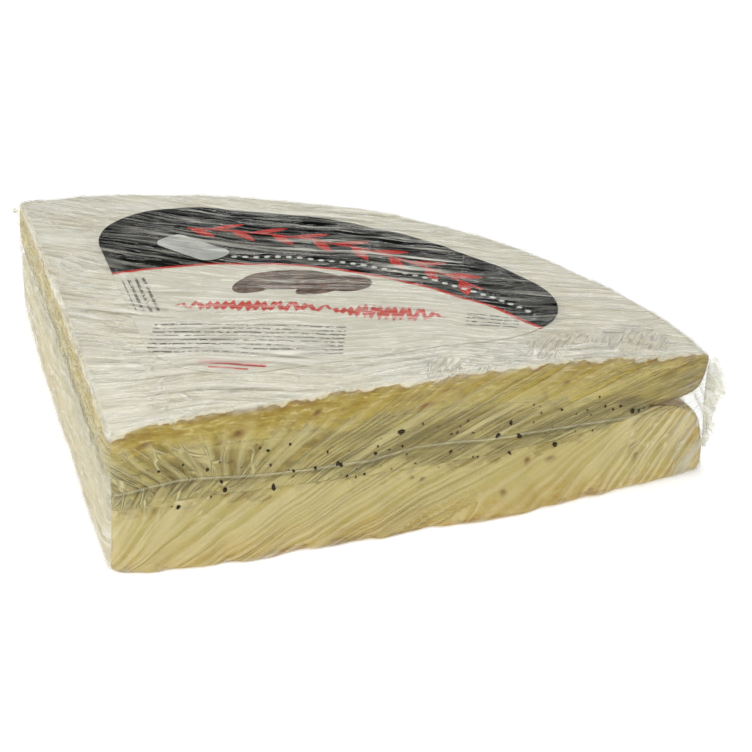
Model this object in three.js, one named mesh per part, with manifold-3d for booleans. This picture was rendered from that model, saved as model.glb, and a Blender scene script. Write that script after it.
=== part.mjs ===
// A quarter of a large brie wheel, split through its middle, filled with truffle cream and
// wrapped in clear film, with a paper label under the film and a price sticker on it.
// Millimetres, +Z up. The wedge is first shaped square and level, with its tip at x = y = 0,
// one cut face along +X, the other along +Y and the rim round the tip. settle() then gives
// every point the sag of the soft cheese, so that all pieces keep fitting each other.
import * as THREE from 'three';
import { mergeVertices } from 'three/addons/utils/BufferGeometryUtils.js';
import Module from 'manifold-3d';

const WHEEL_RADIUS = 180;
const RIM_HEIGHT = 40;
const GAP = 0.3;

// The low dome of the top, highest at DOME_CREST from the tip.
const DOME_RISE = 3.8;
const DOME_CREST = 85;
const RIPPLE = 0.35;

// The rim's top edge hangs a little towards the front corner: how much, and at which angle.
const RIM_DROOP = 0.9;
const DROOP_ANGLE = THREE.MathUtils.degToRad(20);
const DROOP_SPREAD = THREE.MathUtils.degToRad(11);

// How far the cut faces stand out at the foot and lean back at the top edge.
const FRONT_BULGE = 9.0;
const LEFT_BULGE = 2.0;
const FRONT_LEAN = 2.6;
const LEFT_LEAN = 0.8;
const BULGE_TOP = 26;
const LEAN_START = 30;
const SAG_REACH = 18;

// Heights of the cut faces' layers, and where the two halves close on each other near the rim.
const CREAM_FLOOR = 17;
const CREAM_ROOF = 31.8;
const LAYERS_TURN = 88;
const LAYERS_MEET = 164;
const ROOF_DROP = 6.9;
const FLOOR_RISE = 7.4;
const LAYER_WAVE = 0.7;
const CREAM_RADIUS = 158;
const CREAM_RECESS = 1.0;
const LAYER_PLANS = [[1.4, 156.5], [4.5, 152.5], [9, 147], [19, 134], [34, 116], [50, 98]];

// Roundings in plan: at the rim's two corners and at the tip.
const CORNER = 2.2;
const TIP = 3;
const PLAN_MIDDLE = new THREE.Vector2(63, 63);

const LABEL = { margin: 20, radius: 166, corner: 32, tip: 32, narrowed: 0.965, thickness: 0.35, lift: 0.35 };
const STICKER = { length: 26, width: 12, x: 49, y: 112, turn: -57, thickness: 0.25 };
const FILM = { clearance: 0.4, thickness: 0.35, roof: 1.2, foot: 0.9 };

// The middle of the wrapped wedge's footprint, from its tip.
const FOOT_MIDDLE = new THREE.Vector2(91.596, 87.862);

const clamp01 = (value) => Math.min(1, Math.max(0, value));
const smooth = (value) => clamp01(value) ** 2 * (3 - 2 * clamp01(value));

// The underside of the top half, falling towards the rim until the halves meet.
function roofHeight(x, y) {
  const r = Math.hypot(x, y);
  const fall = ROOF_DROP * clamp01((r - LAYERS_TURN) / (LAYERS_MEET - LAYERS_TURN)) ** 1.7;
  return CREAM_ROOF - fall + LAYER_WAVE * Math.sin(x / 19 + y / 15 + 2) * (1 - clamp01(r / 150) ** 4);
}

// The top of the bottom half, rising towards the rim until the halves meet.
function floorHeight(x, y) {
  const r = Math.hypot(x, y);
  const rise = FLOOR_RISE * clamp01((r - LAYERS_TURN) / (LAYERS_MEET - LAYERS_TURN)) ** 4;
  return CREAM_FLOOR + rise + LAYER_WAVE * Math.sin(x / 23 - y / 17 + 1) * (1 - clamp01(r / 150) ** 4);
}

// How far the front cut face stands out at the foot, x from the tip: quickly full, then fading.
function frontBulge(x) {
  const start = 1 - Math.exp(-(Math.max(x, -2) + 3) / 8);
  return FRONT_BULGE * start * Math.cos((Math.PI / 2) * clamp01((x - 95) / 90));
}

// The same for the left cut face, y from the tip: full, then fading towards the rim.
const leftBulge = (y) => LEFT_BULGE * Math.cos((Math.PI / 2) * clamp01((y - 110) / 70));

// How far the rim's top edge hangs at a place.
function rimDroop(x, y, r) {
  const away = (Math.atan2(y, x) - DROOP_ANGLE) / DROOP_SPREAD;
  return RIM_DROOP * Math.exp(-(away ** 2)) * smooth((r - 120) / 60);
}

function settle(p) {
  const { x, y, z } = p;
  const r = Math.hypot(x, y);
  const crest = DOME_RISE * (1 - ((r - DOME_CREST) / (WHEEL_RADIUS - DOME_CREST)) ** 2);
  const ripple = RIPPLE * Math.sin(x / 18 + 0.6) * Math.sin(y / 21 + 1.1);
  const foot = Math.max(0, 1 - z / BULGE_TOP) ** 1.6;
  const head = smooth((z - LEAN_START) / (RIM_HEIGHT - LEAN_START));
  const nearFront = Math.exp(-((y / SAG_REACH) ** 2));
  const nearLeft = Math.exp(-((x / SAG_REACH) ** 2));
  const leanAlong = Math.sin(Math.PI * clamp01(x / WHEEL_RADIUS)) ** 0.5;
  p.x -= nearLeft * (leftBulge(y) * foot - LEFT_LEAN * head);
  p.y -= nearFront * (frontBulge(x) * foot - FRONT_LEAN * leanAlong * head);
  p.z += (z / RIM_HEIGHT) * (crest + ripple - rimDroop(x, y, r));
  return p;
}

// The plan outline of a quarter disc, counterclockwise: its straight sides stand in by margin,
// its arc has the given radius, and its corners and tip are rounded. Every outline has the
// same number of points, stretch by stretch, so any two can be joined into a wall.
function outline(margin, radius, corner = CORNER, tip = TIP, counts = [18, 4, 18, 4]) {
  const [straightCount, cornerCount, arcCount, tipCount] = counts;
  const cornerX = Math.sqrt((radius - corner) ** 2 - (margin + corner) ** 2);
  const turn = Math.atan2(margin + corner, cornerX);
  const tipAt = margin + tip;
  const points = [];
  const arc = (cx, cy, r, from, to, count) => {
    for (let i = 0; i < count; i++) {
      const a = from + ((to - from) * i) / count;
      points.push(new THREE.Vector2(cx + r * Math.cos(a), cy + r * Math.sin(a)));
    }
  };
  const straight = (x0, y0, x1, y1) => {
    for (let i = 0; i < straightCount; i++) {
      const t = i / straightCount;
      points.push(new THREE.Vector2(x0 + (x1 - x0) * t, y0 + (y1 - y0) * t));
    }
  };
  const quarter = Math.PI / 2;
  straight(tipAt, margin, cornerX, margin);
  arc(cornerX, margin + corner, corner, -quarter, turn, cornerCount);
  arc(0, 0, radius, turn, quarter - turn, arcCount);
  arc(margin + corner, cornerX, corner, quarter - turn, Math.PI, cornerCount);
  straight(margin, cornerX, margin, tipAt);
  arc(tipAt, tipAt, tip, Math.PI, 1.5 * Math.PI, tipCount);
  return points;
}

// A ring in space: an outline drawn towards the plan's middle by a factor, each of its points
// at the height that the function gives there.
function ring(plan, height, scale = 1, middle = PLAN_MIDDLE) {
  return plan.map((q) => {
    const x = middle.x + (q.x - middle.x) * scale;
    const y = middle.y + (q.y - middle.y) * scale;
    return new THREE.Vector3(x, y, height(x, y));
  });
}

// The rings of a broad face, from its edge inwards, as its plan drawn smaller.
const faceRings = (plan, height, scales, middle) => scales.map((s) => ring(plan, height, s, middle));

// The rings of a face between two layers, from the edge of the cream inwards. Both layers have
// the same ones, so that their facets lie flat on each other.
const layerRings = (height) => LAYER_PLANS.map(([margin, radius]) => ring(outline(margin, radius), height));

// A closed body from rings of equally many points, with a fan to a middle point at both ends.
// It starts below or inside, so that its faces point out.
function loft(rings, height0, height1, middle = PLAN_MIDDLE) {
  const count = rings[0].length;
  const end = (height) => new THREE.Vector3(middle.x, middle.y, height(middle.x, middle.y));
  const vertices = [end(height0), ...rings.flat(), end(height1)];
  const last = vertices.length - 1;
  const at = (k, i) => 1 + k * count + (i % count);
  const index = [];
  for (let i = 0; i < count; i++) {
    index.push(0, at(0, i + 1), at(0, i));
    for (let k = 0; k + 1 < rings.length; k++) {
      index.push(at(k, i), at(k, i + 1), at(k + 1, i + 1));
      index.push(at(k, i), at(k + 1, i + 1), at(k + 1, i));
    }
    index.push(last, at(rings.length - 1, i), at(rings.length - 1, i + 1));
  }
  const geometry = new THREE.BufferGeometry().setFromPoints(vertices);
  geometry.setIndex(index);
  return geometry;
}

const wasm = await Module();
wasm.setup();

function toSolid(geometry) {
  geometry.deleteAttribute('normal');
  geometry.deleteAttribute('uv');
  const merged = mergeVertices(geometry);
  return new wasm.Manifold(new wasm.Mesh({
    numProp: 3,
    vertProperties: merged.attributes.position.array,
    triVerts: new Uint32Array(merged.index.array),
  }));
}

// One body from a base geometry and the pieces that are fused to it.
function fuse(base, pieces) {
  let solid = toSolid(base);
  for (const piece of pieces) solid = solid.add(toSolid(piece));
  const mesh = solid.getMesh();
  const geometry = new THREE.BufferGeometry();
  geometry.setAttribute('position', new THREE.BufferAttribute(mesh.vertProperties, 3));
  geometry.setIndex(new THREE.BufferAttribute(mesh.triVerts, 1));
  return geometry;
}

function settled(geometry) {
  const position = geometry.attributes.position;
  const p = new THREE.Vector3();
  for (let i = 0; i < position.count; i++) {
    settle(p.fromBufferAttribute(position, i));
    position.setXYZ(i, p.x, p.y, p.z);
  }
  return geometry;
}

const wedge = new THREE.Group();

function add(name, geometry, color, roughness, opacity = 1) {
  const material = new THREE.MeshStandardMaterial({ color, roughness, metalness: 0 });
  material.transparent = opacity < 1;
  material.opacity = opacity;
  const mesh = new THREE.Mesh(settled(geometry), material);
  mesh.name = name;
  wedge.add(mesh);
}

// A wall from levels, each with the rim's radius, its share of the piece's height and its
// margin in plan. heightAt gives the height at a share.
const wall = (levels, heightAt) => levels.map(([radius, share, margin]) =>
  ring(outline(margin, radius), heightAt(share)));

// Bottom half: a flat foot, the rim's wall and the shoulder that turns in to the groove.
const BOTTOM_LEVELS = [
  [179, 0, 1.4], [181, 0.07, 0.2], [181.5, 0.3, 0], [180.7, 0.55, 0],
  [179.4, 0.75, 0], [177.3, 0.87, 0], [173.3, 0.96, 0], [167, 1, 0.3],
];
const bottomHeight = (share) => (x, y) => share * floorHeight(x, y);
const bottomWall = wall(BOTTOM_LEVELS, bottomHeight);
add('brie_bottom', loft([...bottomWall, ...layerRings(floorHeight)], () => 0, floorHeight),
  0xcabd86, 0.5);

// Top half: the lip under the groove, the rim's shoulder and the domed rind.
const TOP_LEVELS = [
  [167, 0, 0.3], [173, 0.1, 0], [176.8, 0.19, 0], [179, 0.31, 0],
  [180.4, 0.55, 0], [181.1, 0.84, 0], [180.9, 0.95, 0.1], [179.8, 1, 0.4],
];
const [RIND_RADIUS, , RIND_MARGIN] = TOP_LEVELS.at(-1);
const topHeight = (share) => (x, y) => {
  const low = roofHeight(x, y);
  return low + share * (RIM_HEIGHT - low);
};
const topUnderside = layerRings(roofHeight).reverse();
const topWall = wall(TOP_LEVELS, topHeight);
const topRind = faceRings(outline(RIND_MARGIN, RIND_RADIUS), () => RIM_HEIGHT, [0.94, 0.8, 0.6, 0.4, 0.2]);
add('brie_top', loft([...topUnderside, ...topWall, ...topRind], roofHeight, () => RIM_HEIGHT),
  0xdcd3b8, 0.7);

// The filling: a slab between the halves that thins to an edge before the rim, set back a
// little from the cut faces, with the larger bits of truffle standing out of both faces.
const creamHeight = (share) => (x, y) => {
  const low = floorHeight(x, y) + GAP;
  return low + share * (roofHeight(x, y) - GAP - low);
};
const CREAM_LEVELS = [
  [CREAM_RADIUS - 0.4, 0.12, CREAM_RECESS + 0.05],
  [CREAM_RADIUS, 0.5, CREAM_RECESS],
  [CREAM_RADIUS - 0.4, 0.88, CREAM_RECESS + 0.05],
];
const creamRings = [
  ...layerRings(creamHeight(0)).reverse(),
  ...wall(CREAM_LEVELS, creamHeight),
  ...layerRings(creamHeight(1)),
];

// Truffle bits spread over each cut face by fixed fractions, most of them low and to the right.
const BITS_PER_FACE = 26;
const fraction = (value) => value - Math.floor(value);
function truffleBits(onLeftFace) {
  const bits = [];
  for (let i = 1; i <= BITS_PER_FACE; i++) {
    const along = 12 + 132 * fraction(i * 0.618034 + (onLeftFace ? 0.37 : 0)) ** 0.8;
    const share = 0.1 + 0.78 * fraction(i * 0.754878) ** 1.4;
    const size = 0.65 + 0.75 * fraction(i * 0.569840);
    const bit = new THREE.IcosahedronGeometry(size, 0);
    bit.scale(1.05, 0.95, 0.85);
    bit.rotateY(i);
    const [x, y] = onLeftFace ? [CREAM_RECESS, along] : [along, CREAM_RECESS];
    bit.translate(x, y, creamHeight(share)(x, y));
    bits.push(bit);
  }
  return bits;
}
add('truffle_cream', fuse(loft(creamRings, creamHeight(0), creamHeight(1)),
  [...truffleBits(false), ...truffleBits(true)]), 0xa8a078, 0.55);

// The paper label: a thin plate over the dome, its sides parallel to the wedge's.
const LABEL_COUNTS = [10, 5, 12, 5];
const LABEL_MIDDLE = new THREE.Vector2(80, 80);
const labelPlan = outline(LABEL.margin, LABEL.radius, LABEL.corner, LABEL.tip, LABEL_COUNTS)
  .map((p) => new THREE.Vector2(LABEL.margin + LABEL.narrowed * (p.x - LABEL.margin), p.y));
const labelLow = () => RIM_HEIGHT + LABEL.lift;
const labelHigh = () => RIM_HEIGHT + LABEL.lift + LABEL.thickness;
const LABEL_SCALES = [1, 0.7, 0.35];
add('label', loft([
  ...faceRings(labelPlan, labelLow, [...LABEL_SCALES].reverse(), LABEL_MIDDLE),
  ...faceRings(labelPlan, labelHigh, LABEL_SCALES, LABEL_MIDDLE),
], labelLow, labelHigh, LABEL_MIDDLE), 0x3a3a38, 0.6);

// The price sticker on the film: a slip with round ends and wavy long edges.
function stickerPlan() {
  const count = 28;
  const half = new THREE.Vector2(STICKER.length / 2, STICKER.width / 2);
  const turn = THREE.MathUtils.degToRad(STICKER.turn);
  return Array.from({ length: count }, (_, i) => {
    const a = (2 * Math.PI * i) / count;
    const squareness = 0.35;
    const x = half.x * Math.sign(Math.cos(a)) * Math.abs(Math.cos(a)) ** squareness;
    const y = half.y * Math.sign(Math.sin(a)) * Math.abs(Math.sin(a)) ** squareness;
    const wave = 1 + 0.04 * Math.cos(a * 6);
    return new THREE.Vector2(x * wave, y * wave)
      .rotateAround(new THREE.Vector2(), turn)
      .add(new THREE.Vector2(STICKER.x, STICKER.y));
  });
}
const filmRoof = () => RIM_HEIGHT + FILM.roof;
const stickerMiddle = new THREE.Vector2(STICKER.x, STICKER.y);
const stickerLow = () => filmRoof() + FILM.thickness + GAP;
const stickerHigh = () => stickerLow() + STICKER.thickness;
add('price_sticker', loft([
  ...faceRings(stickerPlan(), stickerLow, [0.5, 1], stickerMiddle),
  ...faceRings(stickerPlan(), stickerHigh, [1, 0.5], stickerMiddle),
], stickerLow, stickerHigh, stickerMiddle), 0xb9bcb6, 0.5);

// The film: a skin open underneath, tight over the top and the cut faces and stretched across
// the groove of the rim. Each level has the inner skin's radius, height and margin in plan.
const FILM_LEVELS = [
  [181.5, FILM.foot, -0.1], [182, 4, -FILM.clearance], [182, 11, -FILM.clearance],
  [181.2, 22, -FILM.clearance], [181.2, 31, -FILM.clearance], [181.6, 38.6, -FILM.clearance],
  [180.6, 40.7, 0],
];
const FILM_SCALES = [0.985, 0.8, 0.5, 0.25];
function filmSkin(outward) {
  const rise = outward * FILM.thickness;
  const side = FILM_LEVELS.map(([radius, height, margin]) => {
    const top = height > RIM_HEIGHT ? rise : 0;
    return ring(outline(margin - rise, radius + rise), () => height + top);
  });
  const [edgeRadius, , edgeMargin] = FILM_LEVELS.at(-1);
  const plan = outline(edgeMargin - rise, edgeRadius + rise);
  return [...side, ...faceRings(plan, () => filmRoof() + rise, FILM_SCALES)];
}
const inner = filmSkin(0).reverse();
const filmBody = loft([...inner, ...filmSkin(1)], filmRoof, () => filmRoof() + FILM.thickness);

// The skin's inner radius at a height, read between two levels.
function skinRadius(z) {
  const above = FILM_LEVELS.findIndex(([, height]) => height > z);
  const [r0, z0] = FILM_LEVELS[above - 1];
  const [r1, z1] = FILM_LEVELS[above];
  return r0 + ((r1 - r0) * (z - z0)) / (z1 - z0);
}

// A loose frill of gathered film standing out of a corner: a thin wavy sheet, its root in the
// skin, its free edge running out and in again with the height.
function frill({ x, y, turn, low, high, reach, wave }) {
  const across = 3;
  const upward = 12;
  const points = [];
  for (const side of [-1, 1]) {
    for (let k = 0; k <= upward; k++) {
      const t = k / upward;
      const z = low + (high - low) * t;
      const root = skinRadius(z) - FILM_LEVELS[1][0];
      const edge = reach * (0.3 + 0.7 * Math.sin(Math.PI * t ** 1.8) ** 0.7);
      for (let i = 0; i <= across; i++) {
        const u = root + (edge * i) / across;
        const v = side * 0.22 + wave * (i / across) * Math.sin(2 + 9 * t + 1.5 * i / across);
        points.push(new THREE.Vector3(u, v, z));
      }
    }
  }
  const row = across + 1;
  const face = row * (upward + 1);
  const index = [];
  const quad = (a, b, c, d) => index.push(a, b, c, a, c, d);
  for (let k = 0; k < upward; k++) {
    const a = k * row;
    for (let i = 0; i < across; i++) {
      quad(a + i, a + i + 1, a + i + 1 + row, a + i + row);
      quad(face + a + i, face + a + i + row, face + a + i + 1 + row, face + a + i + 1);
    }
    quad(a, a + row, face + a + row, face + a);
    quad(a + across, face + a + across, face + a + across + row, a + across + row);
  }
  const roof = upward * row;
  for (let i = 0; i < across; i++) {
    quad(i, face + i, face + i + 1, i + 1);
    quad(roof + i, roof + i + 1, face + roof + i + 1, face + roof + i);
  }
  const geometry = new THREE.BufferGeometry().setFromPoints(points);
  geometry.setIndex(index);
  geometry.rotateZ(THREE.MathUtils.degToRad(turn));
  geometry.translate(x, y, 0);
  return geometry;
}
const rightFrill = frill({ x: 182.15, y: 1.6, turn: -8, low: 8, high: 38, reach: 4.2, wave: 1.3 });
const leftFrill = frill({ x: 1.5, y: 182.15, turn: 125, low: 29, high: 39, reach: 3.2, wave: 0.6 });
add('film', fuse(filmBody, [rightFrill, leftFrill]), 0xf2f4f0, 0.15, 0.3);

wedge.position.set(-FOOT_MIDDLE.x, -FOOT_MIDDLE.y, 0);

export default wedge;
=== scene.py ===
# %% [markdown]
# # A quarter of truffle brie in its film
# The cheese is a quarter of a large brie wheel. It was split through its middle, filled with a
# cream full of truffle, given a paper label and wrapped in clear film. The construction model
# fixes every size and place. This script gives the pieces their real surfaces: soft paste, white
# rind, dark bits of truffle, printed paper and creased film.

# %% Loading the fixed frame
import math
from functools import partialmethod

import bpy
import numpy as np
from mathutils import Matrix, Vector


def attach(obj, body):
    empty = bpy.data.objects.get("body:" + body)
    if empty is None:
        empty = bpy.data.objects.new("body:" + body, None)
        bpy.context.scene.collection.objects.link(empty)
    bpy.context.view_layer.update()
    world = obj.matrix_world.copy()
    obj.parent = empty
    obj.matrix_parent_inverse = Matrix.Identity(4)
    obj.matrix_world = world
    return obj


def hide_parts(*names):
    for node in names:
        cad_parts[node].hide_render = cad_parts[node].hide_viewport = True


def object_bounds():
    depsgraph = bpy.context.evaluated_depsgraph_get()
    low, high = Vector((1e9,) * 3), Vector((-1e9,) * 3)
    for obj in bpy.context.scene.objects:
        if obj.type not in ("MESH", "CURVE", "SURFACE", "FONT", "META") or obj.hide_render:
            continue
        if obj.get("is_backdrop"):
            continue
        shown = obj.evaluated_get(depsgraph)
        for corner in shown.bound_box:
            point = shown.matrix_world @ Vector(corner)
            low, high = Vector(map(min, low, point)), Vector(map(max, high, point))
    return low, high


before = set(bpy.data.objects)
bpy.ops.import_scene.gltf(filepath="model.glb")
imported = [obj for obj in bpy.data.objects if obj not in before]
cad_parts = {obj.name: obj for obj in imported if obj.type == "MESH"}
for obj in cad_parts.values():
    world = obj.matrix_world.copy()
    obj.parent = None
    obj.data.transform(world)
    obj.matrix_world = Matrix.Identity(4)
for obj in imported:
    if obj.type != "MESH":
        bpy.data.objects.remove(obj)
cad_box = [list(corner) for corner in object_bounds()]
print("nodes:", sorted(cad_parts))

# %% [markdown]
# ## Measures
# Shapes are worked out in millimetres from the wedge's tip, with one cut face along +X and the
# other along +Y, as the construction model does. `to_row` moves them to the row's frame.

# %% Driving measures, in millimetres
MM = 0.001
FOOT_MIDDLE = np.array([91.596, 87.862, 0.0])
WHEEL_RADIUS = 180.0
RIM_HEIGHT = 40.0
DOME_RISE, DOME_CREST, RIPPLE = 3.8, 85.0, 0.35
FRONT_BULGE, LEFT_BULGE = 9.0, 2.0
FRONT_LEAN, LEFT_LEAN = 2.6, 0.8
BULGE_TOP, LEAN_START, SAG_REACH = 26.0, 30.0, 18.0
CREAM_FLOOR, CREAM_ROOF = 17.0, 31.8
LAYERS_TURN, LAYERS_CALM, LAYERS_MEET = 88.0, 150.0, 164.0
ROOF_DROP, FLOOR_RISE, LAYER_WAVE = 6.9, 7.4, 0.7
CREAM_RADIUS, CREAM_RECESS, GAP = 158.0, 0.25, 0.02
CORNER, TIP = 2.2, 3.0
RIM_DROOP, DROOP_ANGLE, DROOP_SPREAD = 0.9, math.radians(20), math.radians(11)


def to_row(points):
    """Metres in the row's frame: millimetres from the tip, less the foot's middle, times 0.001."""
    return (np.asarray(points) - FOOT_MIDDLE) * MM


print("the wedge's tip in the row's frame:", to_row([0, 0, 0]))

# %% [markdown]
# ## The camera
# It stands where the photograph was taken from: a little above the cheese and left of the tip,
# with a long lens, tilted by half a degree.

# %% Camera
CAMERA_PLACE = np.array([-57.5, -411.2, 272.0])
CAMERA_YAW, CAMERA_PITCH, CAMERA_ROLL = (math.radians(a) for a in (18.02, 27.35, 0.54))
FOCAL_PIXELS, FRAME_PIXELS, SENSOR_WIDTH = 1750.0, 752.0, 36.0


def camera_axes(yaw, pitch, roll):
    """Forward from yaw and pitch, a level right, up across both, then both turned by the roll."""
    forward = Vector((math.sin(yaw) * math.cos(pitch), math.cos(yaw) * math.cos(pitch),
                      -math.sin(pitch)))
    level = Vector((math.cos(yaw), -math.sin(yaw), 0))
    up = level.cross(forward)
    right = math.cos(roll) * level + math.sin(roll) * up
    return right, right.cross(forward), forward


def placed(name, data):
    """A new object with the data, linked to the scene."""
    thing = bpy.data.objects.new(name, data)
    bpy.context.scene.collection.objects.link(thing)
    return thing


right, up, forward = camera_axes(CAMERA_YAW, CAMERA_PITCH, CAMERA_ROLL)
lens = bpy.data.cameras.new("camera")
lens.sensor_fit = "HORIZONTAL"
lens.sensor_width = SENSOR_WIDTH
lens.lens = SENSOR_WIDTH * FOCAL_PIXELS / FRAME_PIXELS
camera = placed("camera", lens)
turn = Matrix((right, up, -forward)).transposed().to_4x4()
camera.matrix_world = Matrix.Translation(Vector(to_row(CAMERA_PLACE))) @ turn
bpy.context.scene.camera = camera
print("camera", [round(v, 3) for v in camera.location], "lens", round(lens.lens, 2))

# %% [markdown]
# ## Noise made by arithmetic
# Food is uneven everywhere. Uneven heights come from a hash of whole numbers, blended between the
# places of a grid, so every run gives the same cheese.

# %% Noise
def axes(points):
    """The x, y and z of an array of points, as three arrays."""
    return np.moveaxis(points, -1, 0)


def smooth(t):
    """Nought below 0, one above 1, and the curve 3t² - 2t³ between."""
    t = np.clip(t, 0, 1)
    return t * t * (3 - 2 * t)


def lattice(ix, iy, seed):
    """A fixed number from 0 to 1 for a pair of whole numbers: products with large primes, mixed by
    shifts."""
    h = (ix * 374761393 + iy * 668265263 + seed * 974711) & 0xFFFFFFFF
    h = ((h ^ (h >> 13)) * 1274126177) & 0xFFFFFFFF
    return ((h ^ (h >> 16)) & 0xFFFF) / 65535.0


def noise(x, y, seed=0):
    """Value noise from -1 to 1: the four lattice numbers round a point, blended by the smooth curve."""
    ix, iy = np.floor(x).astype(np.int64), np.floor(y).astype(np.int64)
    fx, fy = smooth(x - ix), smooth(y - iy)
    low = lattice(ix, iy, seed) * (1 - fx) + lattice(ix + 1, iy, seed) * fx
    high = lattice(ix, iy + 1, seed) * (1 - fx) + lattice(ix + 1, iy + 1, seed) * fx
    return 2 * (low * (1 - fy) + high * fy) - 1


def rough(x, y, seed=0, octaves=3):
    """Noise at halving sizes and heights, added up."""
    return sum(noise(x * 2**k, y * 2**k, seed + k) * 0.5**k for k in range(octaves)) / 1.75


print("noise at three places:", noise(np.array([0.5, 1.5, 2.5]), np.zeros(3)).round(3))

# %% [markdown]
# ## How the soft cheese sags
# Every piece is first shaped square and level. One formula then moves all points alike: the top
# rises to a low dome, the cut faces stand out at the foot and lean back at the top. Because the
# pieces share it, they keep fitting each other. Small lumps are added to the construction model's
# smooth form: the foot isn't quite straight and the rind is slightly uneven.

# %% The sag
def front_bulge(x):
    """How far the front face stands out at the foot: quickly full from the tip, then a cosine down to
    the rim."""
    start = 1 - np.exp(-(np.maximum(x, -2) + 3) / 8)
    return FRONT_BULGE * start * np.cos(math.pi / 2 * np.clip((x - 95) / 90, 0, 1))


def left_bulge(y):
    """The same for the other face: full, then a cosine down to the rim."""
    return LEFT_BULGE * np.cos(math.pi / 2 * np.clip((y - 110) / 70, 0, 1))


def rim_droop(x, y, r):
    """How much the rim's top edge hangs: a Gaussian round one angle, grown from two thirds of the
    radius outwards."""
    away = (np.arctan2(y, x) - DROOP_ANGLE) / DROOP_SPREAD
    return RIM_DROOP * np.exp(-(away**2)) * smooth((r - 120) / 60)


def lumps(x, y):
    """Uneven rind: slow swells and smaller bumps, in millimetres."""
    return 0.30 * noise(x / 13, y / 11, 21) + 0.12 * noise(x / 4.5, y / 4, 22)


def settle(points):
    """Points in millimetres after the sag: z grows with the dome at its radius; x and y move out at
    the foot and in at the head. The foot's reach and the rind's height vary a little by noise."""
    x, y, z = axes(np.asarray(points, float))
    r = np.hypot(x, y)
    crest = DOME_RISE * (1 - ((r - DOME_CREST) / (WHEEL_RADIUS - DOME_CREST)) ** 2)
    ripple = RIPPLE * np.sin(x / 18 + 0.6) * np.sin(y / 21 + 1.1)
    foot = np.maximum(0, 1 - z / BULGE_TOP) ** 1.6
    head = smooth((z - LEAN_START) / (RIM_HEIGHT - LEAN_START))
    near_front = np.exp(-((y / SAG_REACH) ** 2))
    near_left = np.exp(-((x / SAG_REACH) ** 2))
    along = x - y
    foot = foot * (1 + 0.13 * noise(along / 13, 0 * x, 41) + 0.10 * noise(along / 5, 0 * x, 42))
    ripple = ripple + lumps(x, y) * smooth(z / RIM_HEIGHT)
    lean_along = np.sqrt(np.sin(math.pi * np.clip(x / WHEEL_RADIUS, 0, 1)))
    return np.stack([
        x - near_left * (left_bulge(y) * foot - LEFT_LEAN * head),
        y - near_front * (front_bulge(x) * foot - FRONT_LEAN * lean_along * head),
        z + z / RIM_HEIGHT * (crest + ripple - rim_droop(x, y, r)),
    ], -1)


def layer_shares(x, y):
    """Two shares by the radius: nought to one from the turn to the meeting of the halves, and one to
    nought by its fourth power, by which the wave dies out."""
    r = np.hypot(x, y)
    outward = np.clip((r - LAYERS_TURN) / (LAYERS_MEET - LAYERS_TURN), 0, 1)
    return outward, 1 - np.clip(r / LAYERS_CALM, 0, 1) ** 4


def roof_height(x, y):
    """Underside of the top half: level, falling with a power of the radius until the halves meet,
    plus a slow wave."""
    outward, calm = layer_shares(x, y)
    return CREAM_ROOF - ROOF_DROP * outward**1.7 + LAYER_WAVE * np.sin(x / 19 + y / 15 + 2) * calm


def floor_height(x, y):
    """Top of the bottom half: level, rising steeply just before the halves meet, plus a slow wave."""
    outward, calm = layer_shares(x, y)
    return CREAM_FLOOR + FLOOR_RISE * outward**4 + LAYER_WAVE * np.sin(x / 23 - y / 17 + 1) * calm


roof, floor = roof_height(50.0, 50.0), floor_height(50.0, 50.0)
print(f"the filling is {roof - floor:.2f} mm thick in the middle")

# %% [markdown]
# ## Outlines, walls and faces
# All broad pieces have the plan of a quarter disc with rounded corners. A wall is that outline
# repeated at many levels. A face inside an outline is a four-sided patch: the front edge, half
# of the arc, the other half and the left edge are its sides.

# %% Outline and surfaces
FRONT_COUNT, LEFT_COUNT = 300, 190
FILLET_POINTS, ARC_POINTS = 24, 90


def along(path, count):
    """Points at equal steps along a polyline, by length, without its last point."""
    steps = np.r_[0, np.cumsum(np.hypot(*np.diff(path, axis=0).T))]
    at = np.linspace(0, steps[-1], count + 1)[:-1]
    return np.stack([np.interp(at, steps, path[:, k]) for k in (0, 1)], -1)


def arc(cx, cy, r, start, end, count=FILLET_POINTS):
    a = np.linspace(start, end, count)
    return np.stack([cx + r * np.cos(a), cy + r * np.sin(a)], -1)


def outline(margin, radius, corner=CORNER, tip=TIP):
    """Quarter disc, counterclockwise from the tip: straight sides in by margin, an arc round the
    origin, filleted corners. Its four stretches, front, right half arc, left half arc and left side,
    start at the tip fillet's middle, the right corner's middle, the diagonal and the left corner's
    middle."""
    corner_x = math.sqrt((radius - corner) ** 2 - (margin + corner) ** 2)
    turn = math.atan2(margin + corner, corner_x)
    middle = (turn - math.pi / 2) / 2
    at = margin + tip
    front = np.vstack([arc(at, at, tip, 1.25 * math.pi, 1.5 * math.pi),
                       arc(corner_x, margin + corner, corner, -math.pi / 2, middle)])
    half_arc = np.vstack([arc(corner_x, margin + corner, corner, middle, turn),
                          arc(0, 0, radius, turn, math.pi / 4, ARC_POINTS)])
    paths = (front, half_arc, half_arc[::-1, ::-1], front[::-1, ::-1])
    counts = (FRONT_COUNT, LEFT_COUNT) * 2
    return np.vstack([along(path, count) for path, count in zip(paths, counts)])


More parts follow.
